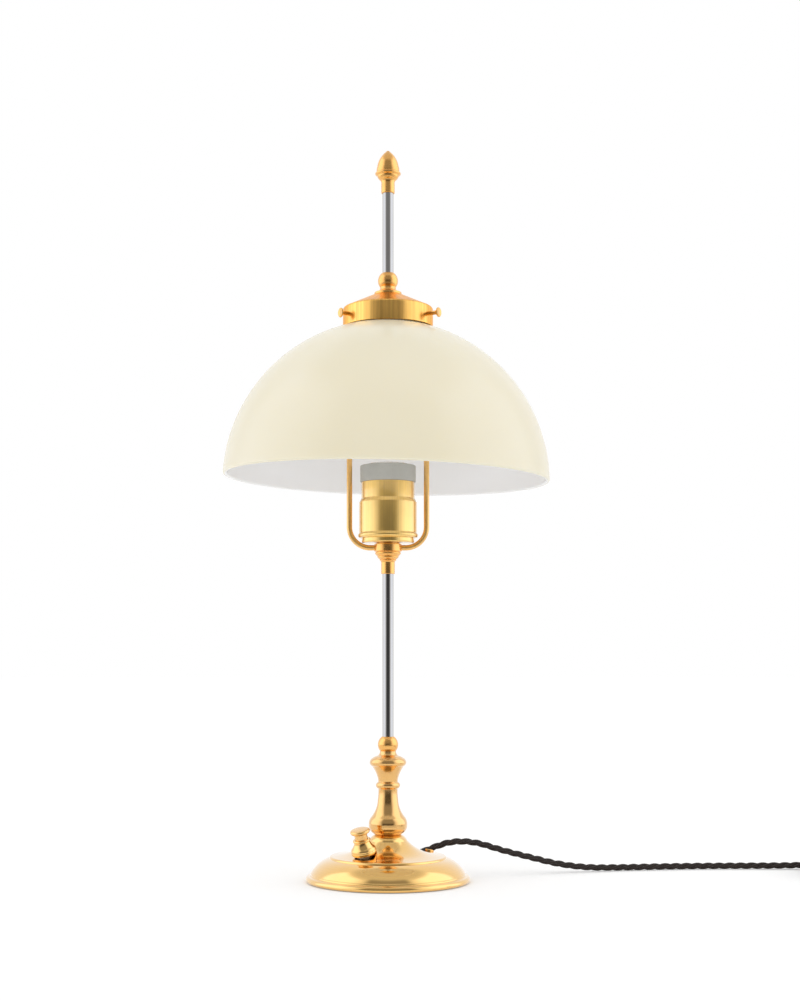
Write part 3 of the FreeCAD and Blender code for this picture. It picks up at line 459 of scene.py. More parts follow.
# %% Sample and ease an outline
def sampled(points, degrees=4.0):
    """A line in metres through points (r, z) or (r, z, bulge) in mm. Where a point has a
    bulge, the edge that reaches it is an arc: with half chord c and half angle
    a = 2 atan(bulge), its radius is c / sin a, its centre lies c / tan a off the chord on the
    left of travel, and the points stand at equal angles on it."""
    pieces = [np.array([points[0][:2]], float)]
    for start, end in zip(points, points[1:]):
        a, b = np.array(start[:2], float), np.array(end[:2], float)
        bulge = end[2] if len(end) > 2 else 0.0
        run = b - a
        chord = np.hypot(*run)
        if chord < 1e-9:
            continue
        if not bulge:
            pieces.append(b[None])
            continue
        along = run / chord
        right = np.array([along[1], -along[0]])
        half = 2 * math.atan(bulge)
        radius = chord / 2 / math.sin(half)
        centre = (a + b) / 2 - right * radius * math.cos(half)
        count = max(3, math.ceil(abs(2 * half) / math.radians(degrees)))
        angle = np.linspace(-half, half, count + 1)[1:, None]
        pieces.append(centre + radius * (right * np.cos(angle) + along * np.sin(angle)))
    return np.concatenate(pieces) * MM


def eased(line, size=0.25, least=16.0):
    """The closed line with its corners rounded. At a corner that turns more than least
    degrees, the point p gives way to the curve (1-t)^2 a + 2t(1-t) p + t^2 b between points a
    and b at the given distance in mm on both sides, and a point further out on each side
    keeps the flats flat."""
    before, after = np.roll(line, 1, 0) - line, np.roll(line, -1, 0) - line
    span = np.maximum(np.stack([np.hypot(*before.T), np.hypot(*after.T)]), 1e-12)
    before, after = before / span[0][:, None], after / span[1][:, None]
    turn = np.degrees(np.arccos(np.clip(-(before * after).sum(1), -1, 1)))
    corner = (turn > least) & (line[:, 0] > 1e-7)
    reach = np.where(corner, np.minimum(size * MM, 0.3 * span.min(0)), 0)
    count = 5
    t = np.linspace(0, 1, count)[None, :, None]
    a, b = line + before * reach[:, None], line + after * reach[:, None]
    curve = (1 - t) ** 2 * a[:, None] + 2 * t * (1 - t) * line[:, None] + t**2 * b[:, None]
    first, last = [(line + way * 1.4 * reach[:, None])[:, None] for way in (before, after)]
    curve = np.concatenate([first, curve, last], 1)
    return curve[(reach > 0)[:, None] | (np.arange(count + 2) == 1 + count // 2)]


print("outline tools ready")

# %% Turn an outline and make its mesh
def make_mesh(name, vertices, faces, finish, replaces, body="lamp"):
    """A smooth-shaded piece from arrays of points and of faces. It rides on a body, takes the
    place of CAD nodes and carries its finish."""
    mesh = bpy.data.meshes.new(name)
    mesh.from_pydata(vertices.tolist(), [], faces)
    mesh.polygons.foreach_set("use_smooth", np.ones(len(mesh.polygons), bool))
    mesh.update()
    mesh.materials.append(finish)
    piece = placed(name, mesh)
    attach(piece, body)
    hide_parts(*replaces)
    return piece


def grid_faces(rows, columns, close_rows=False):
    """Quads of a grid whose columns close round: (i, j), (i, j+1), (i+1, j+1), (i+1, j)."""
    i = np.arange(rows if close_rows else rows - 1)[:, None]
    j = np.arange(columns)[None]
    i2, j2 = (i + 1) % rows, (j + 1) % columns
    corners = [i * columns + j, i * columns + j2, i2 * columns + j2, i2 * columns + j]
    return np.stack(np.broadcast_arrays(*corners), -1).reshape(-1, 4)


def capped_faces(rows, columns):
    """The quads of such a grid, then triangles that close its first row at a pole and its
    last row at another. The two poles are the points that follow the grid's own."""
    j = np.arange(columns)
    k, last, pole = (j + 1) % columns, (rows - 1) * columns, np.full(columns, rows * columns)
    low, high = np.stack([k, j, pole], -1), np.stack([last + j, last + k, pole + 1], -1)
    return grid_faces(rows, columns).tolist() + low.tolist() + high.tolist()


def turned(line, count=160):
    """Points P(i, j) = (r_i cos a_j, r_i sin a_j, z_i) and the faces between them. A line
    that starts and ends on the axis is closed by a pole at each end, and any other line is
    closed into a loop."""
    a = np.arange(count) * 2 * math.pi / count
    pole = line[0, 0] < 1e-9
    body = line[1:-1] if pole else line
    r, z = body[:, 0, None], body[:, 1, None]
    points = np.stack(np.broadcast_arrays(r * np.cos(a), r * np.sin(a), z), -1).reshape(-1, 3)
    if not pole:
        return points, grid_faces(len(body), count, close_rows=True).tolist()
    points = np.concatenate([points, [[0, 0, line[0, 1]], [0, 0, line[-1, 1]]]])
    return points, capped_faces(len(body), count)


def moved(points, at, axis):
    """The points turned so that their Z axis lies along axis, then shifted to a place in mm.
    The turn's columns are two sides square to the axis, and the axis."""
    axis = np.array(axis, float) / np.linalg.norm(axis)
    side = np.cross((0.0, 1.0, 0.0) if abs(axis[1]) < 0.9 else (1.0, 0.0, 0.0), axis)
    side /= np.linalg.norm(side)
    turn = np.stack([side, np.cross(axis, side), axis], 1)
    return points @ turn.T + np.array(at, float) * MM


print("turning tools ready")

# %% [markdown]
# ## The base
# A brass disc was spun over a former: a foot rolled into a bead, a low dome, a small step, a
# flat and a flare that rises to a collar. The wall is 1.2 mm, and the underside is closed by
# a cover plate, so the inside needs only a plain offset of the outside.

# %% Spin the base
base_line = [
    (58.4, 0.4), (59.5, 2.0, 0.35), (56.8, 4.6, 0.42), (55.9, 6.2, -0.35), (42.4, 17.0, 0.2),
    (41.6, 18.3, 0.25), (40.31, 18.55, 0.1), (33.0, 19.6, -0.02), (13.9, 29.6, -0.17),
    (10.0, 33.7, 0.16),
]
wall, bore, collar, underside = 1.2, 4.05, 33.7, 0.4
outside = sampled(base_line + [(bore, collar)])
inside = sampled([(r - wall, z - wall, *rest) for r, z, *rest in base_line])[::-1]
inside = np.concatenate([[[bore * MM, (collar - wall) * MM]], inside])
inside[:, 1] = np.maximum(inside[:, 1], underside * MM)
points, faces = turned(eased(np.concatenate([outside, inside]), 0.3), 192)
make_mesh("spun_base", points, faces, spun_brass, ["base_shell"])
print("base points:", len(points))

# %% [markdown]
# ## The stem
# The baluster, the ball nut and the hub are turned from bar. Each outline follows the CAD's
# points, so each piece sits on its neighbour without fitting. The hub's cone has two fine
# rings cut into it, which the CAD leaves out.

# %% Turn the stem's pieces
def turned_piece(name, points, finish, replaces, size=0.25, count=160):
    """A turned piece whose outline is closed by its last point meeting its first."""
    line = sampled(points + [points[0][:2]])[:-1]
    vertices, faces = turned(eased(line, size), count)
    make_mesh(name, vertices, faces, finish, replaces)


def raised(points, height):
    """An outline lifted by a height in mm."""
    return [(r, z + height, *rest) for r, z, *rest in points]


baluster = [
    (4.1, 0), (9.3, 0), (9.8, 0.5, 0.2), (14.0, 7.2, 0.33), (12.4, 12.6, 0.18),
    (7.45, 25.0, -0.17), (6.95, 33.0, -0.04), (7.6, 33.4), (7.6, 37.8, 0.55), (7.05, 38.3),
    (7.45, 41.0, -0.05), (11.5, 49.4, -0.09), (13.3, 52.2, 0.3), (10.9, 55.5, 0.28),
    (9.8, 56.2, 0.2), (8.9, 56.7), (6.1, 58.7, -0.3), (5.8, 60.3, -0.1), (4.1, 60.3),
]
turned_piece("turned_baluster", raised(baluster, collar), bright_brass, ["baluster"])


def ball_bulge(radius, low, high):
    """Bulge of the arc on a ball between two heights from its centre."""
    return math.tan((math.asin(high / radius) - math.asin(low / radius)) / 4)


def ball_nut(centre, radius, low, foot):
    """A ball with a bore, from its foot up to a flat of 4.5 mm radius."""
    high = math.sqrt(radius**2 - 4.5**2)
    return [
        (4.05, centre + low), (foot, centre + low),
        (4.5, centre + high, ball_bulge(radius, low, high)), (4.05, centre + high),
    ]


ball_radius, ball_foot = 7.35, -4.6
foot = math.sqrt(ball_radius**2 - ball_foot**2)
ball = ball_nut(98.6, ball_radius, ball_foot, foot)
turned_piece("stem_ball", ball, turned_brass, ["lower_ball_nut"])
hub = [
    (3.0, 221.61), (4.6, 221.61), (4.95, 221.96, 0.4), (4.95, 229.61), (5.8, 231.21, -0.3),
    (5.8, 232.01, 0.6), (6.2, 232.21), (7.5, 233.5, 0.1), (7.7, 233.6), (7.75, 234.1),
    (7.6, 234.3), (8.9, 235.7, 0.12), (9.2, 235.8), (9.3, 236.9, 0.2), (9.0, 237.2),
    (10.0, 238.01, -0.2), (10.0, 242.86), (9.65, 243.21, 0.4), (8.5, 243.21), (8.5, 243.91),
    (5.0, 243.91), (5.0, 250.51), (3.0, 250.51),
]
turned_piece("turned_hub", hub, turned_brass, ["bow_hub"])
print("stem pieces: 3")

# %% [markdown]
# ## Rods and bow
# A straight rod is a turned outline as well. The bow's two rods are bent bar: a circle carried
# along a path of straight runs and quarter circles. The path lies in one plane, so the circle
# keeps one side along Y and the other square to the path, and never twists.

# %% Rods and bent bow
def rod(name, low, high, replaces, radius=4.0, bore=3.0):
    """A straight tube between two heights."""
    points = [(bore, low), (radius, low), (radius, high), (bore, high)]
    turned_piece(name, points, polished_steel, replaces, 0.2, 96)


rod("lower_steel_rod", 98.9, 230.31, ["lower_rod"])
rod("upper_steel_rod", 433.1, 504.58, ["upper_rod"])


def carried(path, radius, side, count=40):
    """A closed bar: P(s, a) = C(s) + radius (cos a side + sin a (T(s) x side)). Both ends
    are closed by a smaller ring and a pole."""
    tangent = np.gradient(path, axis=0)
    tangent /= np.linalg.norm(tangent, axis=1, keepdims=True)
    other = np.cross(tangent, side)
    other /= np.linalg.norm(other, axis=1, keepdims=True)
    path = np.concatenate([path[:1], path, path[-1:]])
    other = np.concatenate([other[:1], other, other[-1:]])
    size = np.full(len(path), radius)
    size[[0, -1]] = 0.85 * radius
    angle = np.arange(count) * 2 * math.pi / count
    rim = np.cos(angle)[None, :, None] * side + np.sin(angle)[None, :, None] * other[:, None]
    points = (path[:, None] + size[:, None, None] * rim).reshape(-1, 3)
    faces = [face[::-1] for face in capped_faces(len(path), count)]
    return np.concatenate([points, path[:1], path[-1:]]), faces


def bow_path(way):
    """Out from the hub, up, and in to the boss, with two quarter circles of 15 mm."""
    low, high, out, bend = 240.511, 385.911, 27.8, 15.0
    quarter = np.linspace(0, math.pi / 2, 25)
    first = [(out - bend + bend * np.sin(quarter)), (low + bend - bend * np.cos(quarter))]
    second = [(out - bend + bend * np.cos(quarter)), (high - bend + bend * np.sin(quarter))]
    x = np.concatenate([[4.7, 8.0], first[0], second[0], [8.0, 4.7]])
    z = np.concatenate([[low, low], first[1], second[1], [high, high]])
    return np.stack([way * x, np.zeros(len(x)), z], -1) * MM


for way, side_name in ((1, "right"), (-1, "left")):
    points, faces = carried(bow_path(way), 2.0 * MM, np.array([0.0, 1.0, 0.0]))
    name, node = f"bent_bow_{side_name}", f"bow_rod_{side_name}"
    make_mesh(name, points, faces, bent_brass, [node])
print("rods: 2, bow rods: 2")

# %% [markdown]
# ## The lampholder
# Two pressed brass shells hold a porcelain ring, and a thin screw shell shows its lip above
# it. The screw shell's thread is a sine wave that turns once round for each pitch. Only the
# lip shows in most views, but the thread is what a lamp screws into, so it is worked out.

# %% Shells, ring and thread
lower_shell = [
    (5.05, 0), (18.0, 0), (19.0, 1.0, 0.4), (19.0, 3.1), (20.8, 3.7, -0.2), (21.1, 6.9, 0.5),
    (20.9, 7.4), (20.9, 29.4), (20.3, 29.4), (20.3, 4.0), (18.4, 3.4), (18.4, 0.6), (5.05, 0.6),
]
upper_shell = [
    (19.65, 27.0), (20.25, 27.0), (20.25, 29.6), (19.2, 32.0, 0.12), (19.2, 43.8),
    (17.4, 43.8), (17.4, 43.2), (18.6, 43.2), (18.6, 32.0), (19.65, 29.6),
]
ring = [
    (13.95, 43.8), (19.6, 43.8), (20.0, 44.2, 0.4), (20.0, 55.0), (19.2, 55.8, 0.4),
    (14.35, 55.8), (13.95, 55.4),
]
holder_foot = 243.911
for name, outline, finish, node, slot in (
    ("holder_lower", lower_shell, pressed_brass, "lampholder_lower_shell", "brass_holder"),
    ("holder_upper", upper_shell, pressed_brass, "lampholder_upper_shell", "brass_holder"),
    ("holder_ring", ring, porcelain, "porcelain_ring", "porcelain"),
):
    turned_piece(name, raised(outline, holder_foot), finish, [node])


def screw_shell(low=272.31, high=301.01, pitch=3.63, count=144):
    """Thread: r(z, a) = middle + depth sin(2 pi z / pitch - a), fading over 2 mm to a plain
    and wider lip of 1.6 mm. The two skins stand half a wall off it on both sides."""
    middle, depth, half_wall, lip = 13.35, 0.42, 0.15, 0.35
    z = np.linspace(low, high, 120)
    angle = np.arange(count) * 2 * math.pi / count
    fade = np.clip((high - 1.6 - z) / 2.0, 0, 1)[:, None]
    wave = middle + depth * fade * np.sin(2 * math.pi * z[:, None] / pitch - angle)
    skin = wave + lip * (1 - fade)
    r = np.concatenate([skin + half_wall, (skin - half_wall)[::-1]])
    up = np.concatenate([z, z[::-1]])[:, None] + 0 * r
    points = np.stack([r * np.cos(angle), r * np.sin(angle), up], -1).reshape(-1, 3) * MM
    return points, grid_faces(len(r), count, close_rows=True).tolist()


points, faces = screw_shell()
make_mesh("threaded_shell", points, faces, bright_nickel, ["screw_shell"])
print("lampholder pieces: 4")

# %% [markdown]
# ## Gallery, ball and finial
# The gallery is a shallow brass cone with an upright wall, brushed up and down. A disc, a neck
# and a ball stand on it, and an acorn finial ends the upper rod.

# %% Turn the top
gallery = [
    (31.45, 399.1), (32.45, 399.1), (32.45, 411.8), (30.85, 413.4, 0.3), (11.2, 422.3),
    (10.6, 422.6, 0.2), (4.05, 422.6), (4.05, 421.6), (9.6, 421.6), (10.2, 421.3),
    (29.85, 412.4), (31.45, 410.8, -0.3),
]
turned_piece(
    "brushed_gallery", gallery, gallery_brass, ["shade_gallery"], 0.3, 192
)
top = 422.6
centre, ball_radius = top + 10.2, 7.25
low = -math.sqrt(ball_radius**2 - 5.7**2)
high = math.sqrt(ball_radius**2 - 4.5**2)
gallery_ball = [
    (4.05, top), (9.4, top), (9.9, top + 0.5, 0.4), (9.9, top + 1.5), (9.4, top + 2.0, 0.4),
    (8.6, top + 2.0), (5.7, top + 5.4, -0.35), (5.7, centre + low),
    (4.5, centre + high, ball_bulge(ball_radius, low, high)), (4.05, centre + high),
]
turned_piece("gallery_ball", gallery_ball, turned_brass, ["gallery_ball_nut"])
sleeve = centre + high + 57.4
cup, rim = sleeve + 13.4, sleeve + 15.3
tip = rim + 15.6
acorn = [
    (4.05, sleeve), (4.5, sleeve), (4.9, sleeve + 0.8, 0.3), (4.9, sleeve + 6.5),
    (5.8, cup - 3.6, -0.25), (7.8, cup - 0.7, 0.2), (8.7, cup), (9.2, cup + 0.7, 0.4),
    (8.9, rim - 0.4, 0.3), (8.25, rim), (7.75, rim + 4.37, 0.1), (1.6, tip - 0.9, 0.19),
    (0.0, tip, math.tan(math.atan(0.9 / 1.6) / 2)),
]
line = sampled([(0.0, sleeve + 9.0), (4.05, sleeve + 9.0)] + acorn)
points, faces = turned(eased(line))
make_mesh("acorn_finial", points, faces, turned_brass, ["finial"])
print("top pieces: 3, tip at", round(tip, 1))

# %% [markdown]
# ## The glass dome
# Blown glass is a sphere's cap with a fire-polished rim and a neck with a small lip. Its
# section is one closed line: outer sphere, neck, lip, and the inner sphere back down. It hangs
# in three screws, a little lower on its right, so the whole form is turned about the sphere's
# centre.

# %% Blow the dome
radius, inner, rise = dome_radius, dome_radius - dome_wall, 6.2
root, neck, bore = 30.8, 28.2, 25.2
root_z = math.sqrt(radius**2 - root**2)
bore_z = math.sqrt(inner**2 - (bore - 0.6) ** 2)
top = root_z + 12.2
lip, rim = neck + 1.3, math.sqrt(inner**2 - rise**2)
glass = [
    (rim, rise), (math.sqrt(radius**2 - rise**2), rise, 1.0),
    (root, root_z, ball_bulge(radius, rise, root_z)),
    (neck, root_z + 2.6, -0.38), (neck, top - 1.8), (lip, top - 1.08, 0.2), (lip - 0.4, top, 0.5),
    (bore + 0.6, top), (bore, top - 0.6, 0.4), (bore, bore_z + 1.0),
    (bore + 0.3, bore_z - 0.15, -0.1), (rim, rise, -ball_bulge(inner, rise, bore_z - 0.15)),
]
line = sampled(glass, 1.8)[:-1]
points, faces = turned(eased(line, 0.3), 224)
lean = math.radians(1.4)
tilt = np.array([
    [math.cos(lean), 0, math.sin(lean)], [0, 1, 0], [-math.sin(lean), 0, math.cos(lean)],
])
points = points @ tilt.T + np.array(dome_centre) * MM
make_mesh("glass_dome", points, faces, opal, ["glass_shade"])
print("dome rim at", round(points[:, 2].min() / MM, 1), "mm")

# %% [markdown]
# ## Thumbscrews
# Three small screws grip the glass neck. Each is turned about its own axis, from the tip over
# the shank to the dished head, and laid along its direction with its tip just off the leaning
# neck. Each rides on its own body, because it can be screwed out.

# %% Three thumbscrews
screw = [
    (0.0, 0.0), (1.15, 0.0), (1.5, 0.35), (1.5, 9.2), (3.1, 11.0, -0.25), (3.4, 11.35, 0.3),
    (3.0, 12.2, 0.4), (2.6, 12.2), (0.0, 11.85, -math.tan(math.atan(0.35 / 2.6) / 2)),
]
screw_height, gap = 406.0, 0.3
off = dome_centre[0] + (screw_height - dome_centre[2]) * math.sin(lean)
for side_name, degrees in (("left", 210), ("right", 330), ("back", 90)):
    a = math.radians(degrees)
    reach = off * math.cos(a) + math.sqrt(neck**2 - (off * math.sin(a)) ** 2) + gap
    points, faces = turned(eased(sampled(screw), 0.15), 64)
    axis = (math.cos(a), math.sin(a), 0.0)
    points = moved(points, (reach * axis[0], reach * axis[1], screw_height), axis)
    name, body = f"thumbscrew_{side_name}", f"screw_{side_name}"
    make_mesh(f"turned_{name}", points, faces, turned_brass, [name], body)
print("thumbscrews: 3")

# %% [markdown]
# ## The push switch
# A small brass bell stands on the base's flare, and a satin button on a neck comes out of it.
# Both are turned about the switch's own tilted axis. The button rides on its own body, because
# it presses in.

# %% Bell and button
seat = (-16.7125, -19.9172, 21.4374)
axis = (-0.173939, -0.207292, 0.962692)
bell = [
    (7.4, 1.05), (8.3, 1.05), (8.9, 3.65, 0.3), (7.9, 6.05, 0.25), (5.6, 10.25, -0.14),
    (6.05, 10.65, -0.2), (6.05, 11.85, 0.5), (5.65, 12.05, 0.3), (4.65, 12.05), (4.65, 9.25),
    (5.05, 8.85), (5.05, 3.25), (7.4, 2.25),
]
button = [
    (0.0, 7.5), (4.6, 7.5), (4.6, 15.85), (5.1, 16.45, -0.3), (5.85, 16.45), (5.85, 19.25, 0.85),
    (0.0, 19.65, math.tan(math.atan(0.4 / 5.85) / 2)),
]
for name, line, finish, node, slot, body in (
    ("switch_bell_dress", sampled(bell + [bell[0][:2]])[:-1], spun_brass, "switch_bell",
     "brass_base", "lamp"),
    ("mushroom_button", sampled(button), satin_brass, "switch_button", "brass_satin", "button"),
):
    points, faces = turned(eased(line, 0.2), 128)
    make_mesh(name, moved(points, seat, axis), faces, finish, [node], body)
print("switch pieces: 2")

# %% [markdown]
# ## The cord
# A three-core textile cord leaves the base through an eyelet, arches over the flare, comes
# down to the table and runs off to the right. The rest is put away in a tied coil with its
# plug beside it. Its line is one smooth NURBS spline, and the route's points are its control
# points. The three twisted cores are one closed surface that follows the line: round each core
# for most of its own circle, then on to the next core, while the whole section turns once in
# each lay. The map's u would run backwards in the last column, from nearly 3 to 0, so it ends
# at 3 there. The photograph shows no cord in the polished base, so mirrored rays pass it by.

# %% The cord's line
lead_points = np.array([
    (28.3, 20.2, 19.9), (40.0, 23.0, 24.4), (52.0, 25.8, 26.0), (66.0, 29.3, 24.5),
    (84.5, 33.9, 18.2), (105.0, 38.8, 12.6), (127.0, 43.6, 6.6), (150.5, 48.9, 3.1),
    (177.0, 54.6, 2.6), (205.0, 59.3, 2.6), (236.0, 62.6, 2.6), (270.0, 63.6, 2.6),
    (303.0, 62.4, 2.9), (331.0, 61.4, 3.9), (352.0, 61.4, 3.9),
])
tail_steps = np.array([
    (0.0, 0.0, 0.0), (9.0, 0.0, 0.0), (20.0, -1.6, -1.0), (33.6, -9.0, -2.9), (42.6, -24.6, -3.2),
    (43.4, -42.0, -1.4), (43.0, -57.0, -1.4),
])
middle_radius, pitch, per_turn = 27.51, 5.6, 16


def coil_points(start):
    """Control points of the coil, 16 to a turn, each on its arc's circle made larger by
    1 / cos(pi / 16), because the spline runs inside them. A half turn has radius
    middle + offset, and one that climbs rises by (1 - cos a) / 2 of a layer."""
    full = 1 / math.cos(math.pi / per_turn)
    steps = (np.arange(per_turn // 2) + 0.5) * 2 * math.pi / per_turn
    outer = middle_radius + pitch
    quarter = steps[: per_turn // 4]
    centre = start - np.array([0, outer, 0])
    out = [centre + outer * full * np.stack([np.sin(quarter), np.cos(quarter), 0 * quarter], -1)]
    here = start + np.array([outer, -outer, 0])
    way = -1
    for layer, inward in enumerate((1, -1, 1, -1)):
        turns = [(inward * k, 0) for k in (1, 0, -1)] + ([(-2 * inward, 1)] if layer < 3 else [])
        for offset, climb in turns:
            r = middle_radius + offset * pitch / 2
            mid = here + np.array([way * r, 0, 0])
            lift = climb * pitch * (1 - np.cos(steps)) / 2
            out.append(mid + np.stack([
                -way * r * full * np.cos(steps), way * r * full * np.sin(steps), lift,
            ], -1))
            here = here + np.array([way * 2 * r, 0, climb * pitch])
            way = -way
    centre = here + np.array([outer, 0, 0])
    last = np.stack([-np.cos(quarter), np.sin(quarter), 0 * quarter], -1)
    out.append(centre + outer * full * last)
    return np.concatenate(out), here + np.array([outer, outer, 0])


coil, coil_end = coil_points(lead_points[-1])
route = np.concatenate([lead_points, coil, coil_end + tail_steps]) * MM


def smooth_line(points):
    """The NURBS spline with those control points, as points along it."""
    data = bpy.data.curves.new("cord_line", "CURVE")
    data.dimensions = "3D"
    spline = data.splines.new("NURBS")
    spline.points.add(len(points) - 1)
    spline.points.foreach_set("co", np.c_[points, np.ones(len(points))].ravel())
    spline.order_u = 3
    spline.use_endpoint_u = True
    data.resolution_u = 16
    holder = placed("cord_line", data)
    bpy.context.view_layer.update()
    shown = holder.evaluated_get(bpy.context.evaluated_depsgraph_get())
    read = bpy.data.meshes.new_from_object(shown)
    line = np.zeros(len(read.vertices) * 3)
    read.vertices.foreach_get("co", line)
    bpy.data.objects.remove(holder)
    bpy.data.meshes.remove(read)
    return line.reshape(-1, 3)


def even(line, step):
    """The line read at equal steps of its own length."""
    run = np.r_[0, np.cumsum(np.linalg.norm(np.diff(line, axis=0), axis=1))]
    at = np.linspace(0, run[-1], int(run[-1] / step) + 1)
    return np.stack([np.interp(at, run, line[:, k]) for k in range(3)], -1), at


cord_line, run = even(smooth_line(route), 1.0 * MM)
print("cord length:", round(run[-1], 4), "m, points:", len(cord_line))

# %% Twist the cores along the line
per_core = 12
around = 3 * per_core


def twisted_cores(line, run, radius=2.5 * MM, lay=25 * MM):
    """Three tangent circles of radius q = R / (1 + 2 / sqrt 3) stand R - q from the middle.
    Point m of core k is  (R - q) e(k) + q e(k, m),  both unit vectors turned by
    2 pi s / lay + 2 pi k / 3, and laid on two sides square to the line: the level side
    T x Z and the side square to both."""
    q = radius / (1 + 2 / math.sqrt(3))
    tangent = np.gradient(line, axis=0)
    tangent /= np.linalg.norm(tangent, axis=1, keepdims=True)
    level = np.cross(tangent, (0.0, 0.0, 1.0))
    level /= np.linalg.norm(level, axis=1, keepdims=True)
    upper = np.cross(level, tangent)
    core = np.repeat(np.arange(3), per_core) * 2 * math.pi / 3
    own = np.tile(np.radians(np.linspace(-142, 142, per_core)), 3)
    twist = (2 * math.pi * run / lay)[:, None]
    a = (radius - q) * np.cos(core + twist) + q * np.cos(core + own + twist)
    b = (radius - q) * np.sin(core + twist) + q * np.sin(core + own + twist)
    points = line[:, None] + a[..., None] * level[:, None] + b[..., None] * upper[:, None]
    vertices = np.concatenate([points.reshape(-1, 3), line[:1], line[-1:]])
    along = np.stack(np.broadcast_arrays(np.arange(around) / per_core, run[:, None]), -1)
    return vertices, capped_faces(len(line), around), along.reshape(-1, 2)


points, faces, along = twisted_cores(cord_line, run)
points[:, 2] = np.maximum(points[:, 2], 0.0)
cord = make_mesh(
    "twisted_cord", points, faces, textile, ["cord_lead", "cord_coil", "cord_tail"],
)
cord.visible_glossy = False
print("cord faces:", len(faces))

# %% Lay the cord's map and describe the cord
uv = cord.data.uv_layers.new(name="along")
corner = np.zeros(len(cord.data.loops), int)
cord.data.loops.foreach_get("vertex_index", corner)
table = np.concatenate([along, [[0, 0], [0, run[-1]]]])[corner]
face_of = np.repeat(np.arange(len(faces)), [len(face) for face in faces])
last_column = (face_of % around == around - 1) & (face_of < (len(cord_line) - 1) * around)
table[last_column & (table[:, 0] < 0.5), 0] += 3.0
uv.data.foreach_set("uv", table.ravel())
print("cord map corners:", len(table))

# %% [markdown]
# ## The rest of the CAD pieces
# Nuts, plates, wires, the weight and the plug keep their CAD shape and get a finish.

# %% Give the CAD pieces their finish
finishes = (
    (felt, ["base_pad"]),
    (iron.material, ["base_weight"]),
    (porcelain, ["porcelain_insert"]),
    (turned_brass, ["bow_top_boss", "cord_grommet"]),
    (zinc_steel, [
        "base_cover_plate", "base_washer", "base_lock_nut", "base_tie_tube", "gallery_stud",
        "gallery_washer", "gallery_lock_nut", "switch_bush", "switch_nut", "switch_spring",
    ]),
    (bright_nickel, ["centre_contact", "terminal_screws", "plug_pins", "plug_earth_clips"]),
    (dark_plastic, ["switch_body", "cord_clamp", "plug_body"]),
    (dark_rubber, ["cord_inner_end", "coil_tie"]),
    (brown_wire, ["wire_live", "wire_switch_feed"]),
    (blue_wire, ["wire_neutral"]),
    (green_wire, ["wire_earth"]),
)
finished = {node: finish for finish, nodes in finishes for node in nodes}
for node, finish in finished.items():
    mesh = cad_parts[node].data
    mesh.materials.clear()
    mesh.materials.append(finish)
left = [n for n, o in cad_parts.items() if n not in finished and not o.hide_render]
print("CAD pieces finished:", len(finished), "left over:", left)

# %% [markdown]
# ## Floor, room and lamps
# The lamp stands on a pale floor in a white room. What polished metal looks like depends on
# what it mirrors, and a photographer's room isn't the same all round: it is dark behind the
# camera, bright where the big lamps stand left and right of it, and pale above. Three cards
# could stand in for that, but each would show its edges in the metal. So the room is drawn as
# one shell round the lamp, seen only by mirrored rays, whose glow is a smooth function of the
# direction. The even light of the world does the rest, with a soft lamp on each side for a
# little shape.

# %% Build the room
def stage_piece(name, vertices, faces, material):
    """A mesh that belongs to the stage, not to the lamp."""
    mesh = bpy.data.meshes.new(name)
    mesh.from_pydata(vertices, [], faces)
    mesh.materials.append(material)
    piece = placed(name, mesh)
    return piece


def shown_white(board):
    """1 for the rays that a viewer follows: straight, mirrored or through glass."""
    names = ("Is Camera Ray", "Is Glossy Ray", "Is Transmission Ray")
    straight, mirrored, through = [board.node("ShaderNodeLightPath", output=n) for n in names]
    return straight.maths("MAXIMUM", mirrored).maths("MAXIMUM", through)


floor_finish = Finish("pale_floor", Base_Color=shade(0.92, 0.92, 0.92), Roughness=0.9)
floor_finish.set(Specular_IOR_Level=0.0, Emission_Color=shade(1, 1, 1))
floor_finish.set(Emission_Strength=shown_white(floor_finish) * 0.16)
floor_corners = [(-9, -9, 0), (9, -9, 0), (9, 9, 0), (-9, 9, 0)]
stage_piece("floor", floor_corners, [(0, 1, 2, 3)], floor_finish.material)

world = bpy.data.worlds.new("white_room")
bpy.context.scene.world = world
world.use_nodes = True
room = Board(world.node_tree)
level = shown_white(room) * 0.08 + 0.92
sky = room.node("ShaderNodeBackground", {}, {"Color": shade(1, 1, 1), "Strength": level})
room.show(sky.socket, "ShaderNodeOutputWorld")
print("floor and world ready")

# %% Draw what the metal mirrors
shell_radius, shell_height = 3.5, 0.3


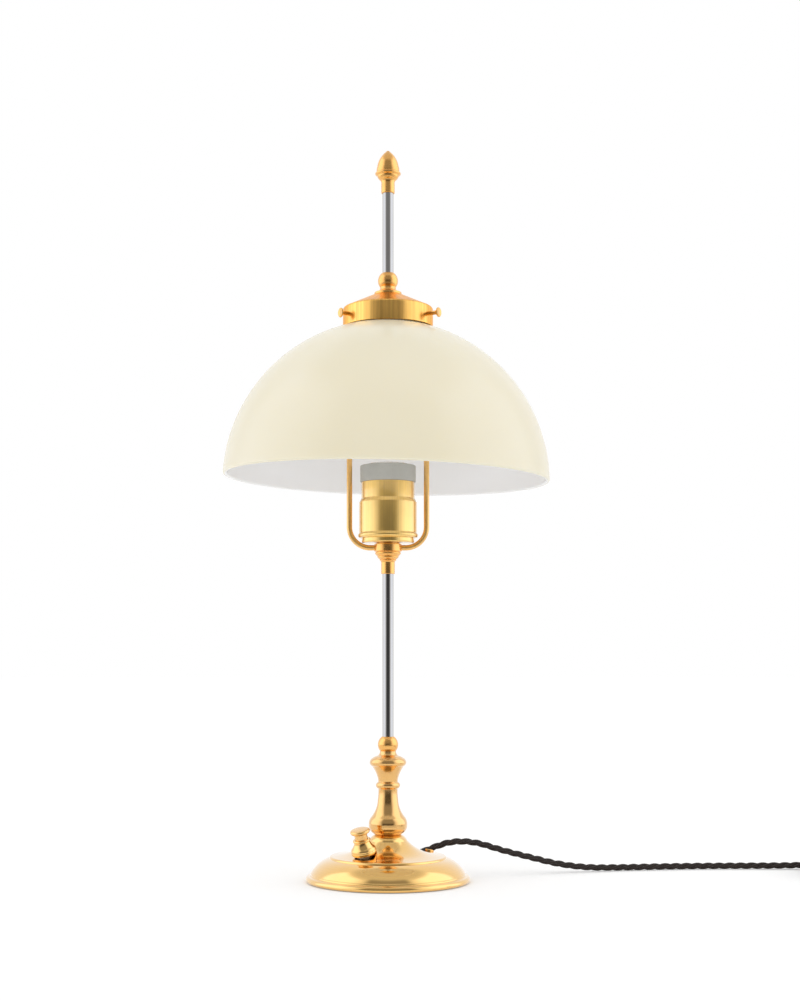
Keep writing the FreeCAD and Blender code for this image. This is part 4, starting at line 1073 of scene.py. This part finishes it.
def room_glow():
    """The glow in a direction. With the azimuth from the camera's side, 0 ahead to 1 behind,
    and the rise, the sine of the elevation: a dark core ahead that widens and pales a little
    upwards, the room's white all round, a greyer ceiling, and the near floor outside the
    view, which is darkest in front. The side lamps' cool panels lie over that."""
    material = bpy.data.materials.new("room_glow")
    material.use_nodes = True
    f = Board(material.node_tree)
    x, y, z = f.parts(f.point())
    sockets = {0: x.maths("ABSOLUTE"), 1: y * -1}
    azimuth = f.node("ShaderNodeMath", {"operation": "ARCTAN2"}, sockets) / math.pi
    rise = (z - shell_height) / shell_radius
    upper = f.between(rise, 0.0, 0.35)
    out_of_core = f.between(azimuth - upper * 0.03, 0.155, 0.255)
    core = upper * 0.26 + 0.08
    wall = core + (f.between(azimuth, 0.2, 0.6, 0.85, 1.0) - core) * out_of_core
    ceiling = f.between(rise, 0.80, 0.91)
    above = wall + (0.72 - wall) * ceiling
    ground = f.between(azimuth, 0.15, 0.38, 0.28, 0.75) + f.between(azimuth, 0.4, 0.6, 0.0, 0.25)
    low = f.between((x * x + y * y) ** 0.5, 1.9, 1.2) * f.between(z, 0.07, 0.004)
    level = above + (ground - above) * low
    across = f.between(azimuth, 0.21, 0.42) * f.between(azimuth, 0.69, 0.64)
    panel = across * f.between(rise, 0.84, 0.76) * (1 - low)
    dark, white, cool = [
        f.node("ShaderNodeEmission", {}, {"Color": shade(*tint), "Strength": strength})
        for tint, strength in (((0, 0, 0), 0.0), ((1, 1, 1), 1.0), ((0.87, 0.91, 1.0), 1.75))
    ]
    mix = f.node("ShaderNodeMixShader", {}, {0: level, 1: dark, 2: white})
    mix = f.node("ShaderNodeMixShader", {}, {0: panel, 1: mix, 2: cool})
    f.show(mix.socket)
    return material


def shell_grid(rows=28, columns=96):
    """Rings round the lamp: out over the floor from 0.42 m, which is outside the view, then
    up the sphere R (cos e, sin e) to a pole."""
    e = np.linspace(math.radians(-4.8), math.radians(88), rows)
    r = np.r_[0.42, 0.8, 1.6, 2.6, shell_radius * np.cos(e)][:, None]
    z = np.r_[[0.002] * 4, shell_height + shell_radius * np.sin(e)][:, None]
    a = np.arange(columns)[None] * 2 * math.pi / columns
    points = np.stack([r * np.cos(a), r * np.sin(a), z + 0 * a], -1).reshape(-1, 3)
    points = np.concatenate([points, [[0, 0, shell_height + shell_radius]]])
    faces = grid_faces(len(r), columns)[:, ::-1].tolist()
    last, pole = (len(r) - 1) * columns, len(r) * columns
    faces += [(last + (j + 1) % columns, last + j, pole) for j in range(columns)]
    return points.tolist(), faces


mirrored_room = stage_piece("mirrored_room", *shell_grid(), room_glow())
for rays in ("camera", "diffuse", "transmission", "shadow"):
    setattr(mirrored_room, "visible_" + rays, False)
print("room shell ready")

# %% Hang the lamps
def soft_lamp(name, azimuth, distance, height, width, tall, watts):
    """A rectangle of light at an angle from the camera's side, turned to the lamp."""
    data = bpy.data.lights.new(name, "AREA")
    data.shape = "RECTANGLE"
    data.size, data.size_y = width, tall
    data.energy = watts
    piece = placed(name, data)
    a = math.radians(azimuth)
    piece.location = (distance * math.sin(a), -distance * math.cos(a), height)
    piece.rotation_euler = (math.radians(90), 0, a)
    piece.visible_camera = False
    piece.visible_glossy = False


for name, azimuth in (("left_softbox", -73), ("right_softbox", 73)):
    soft_lamp(name, azimuth, distance=1.7, height=0.9, width=2.6, tall=1.8, watts=4)
bpy.context.scene.view_settings.view_transform = "Standard"
print("room ready")
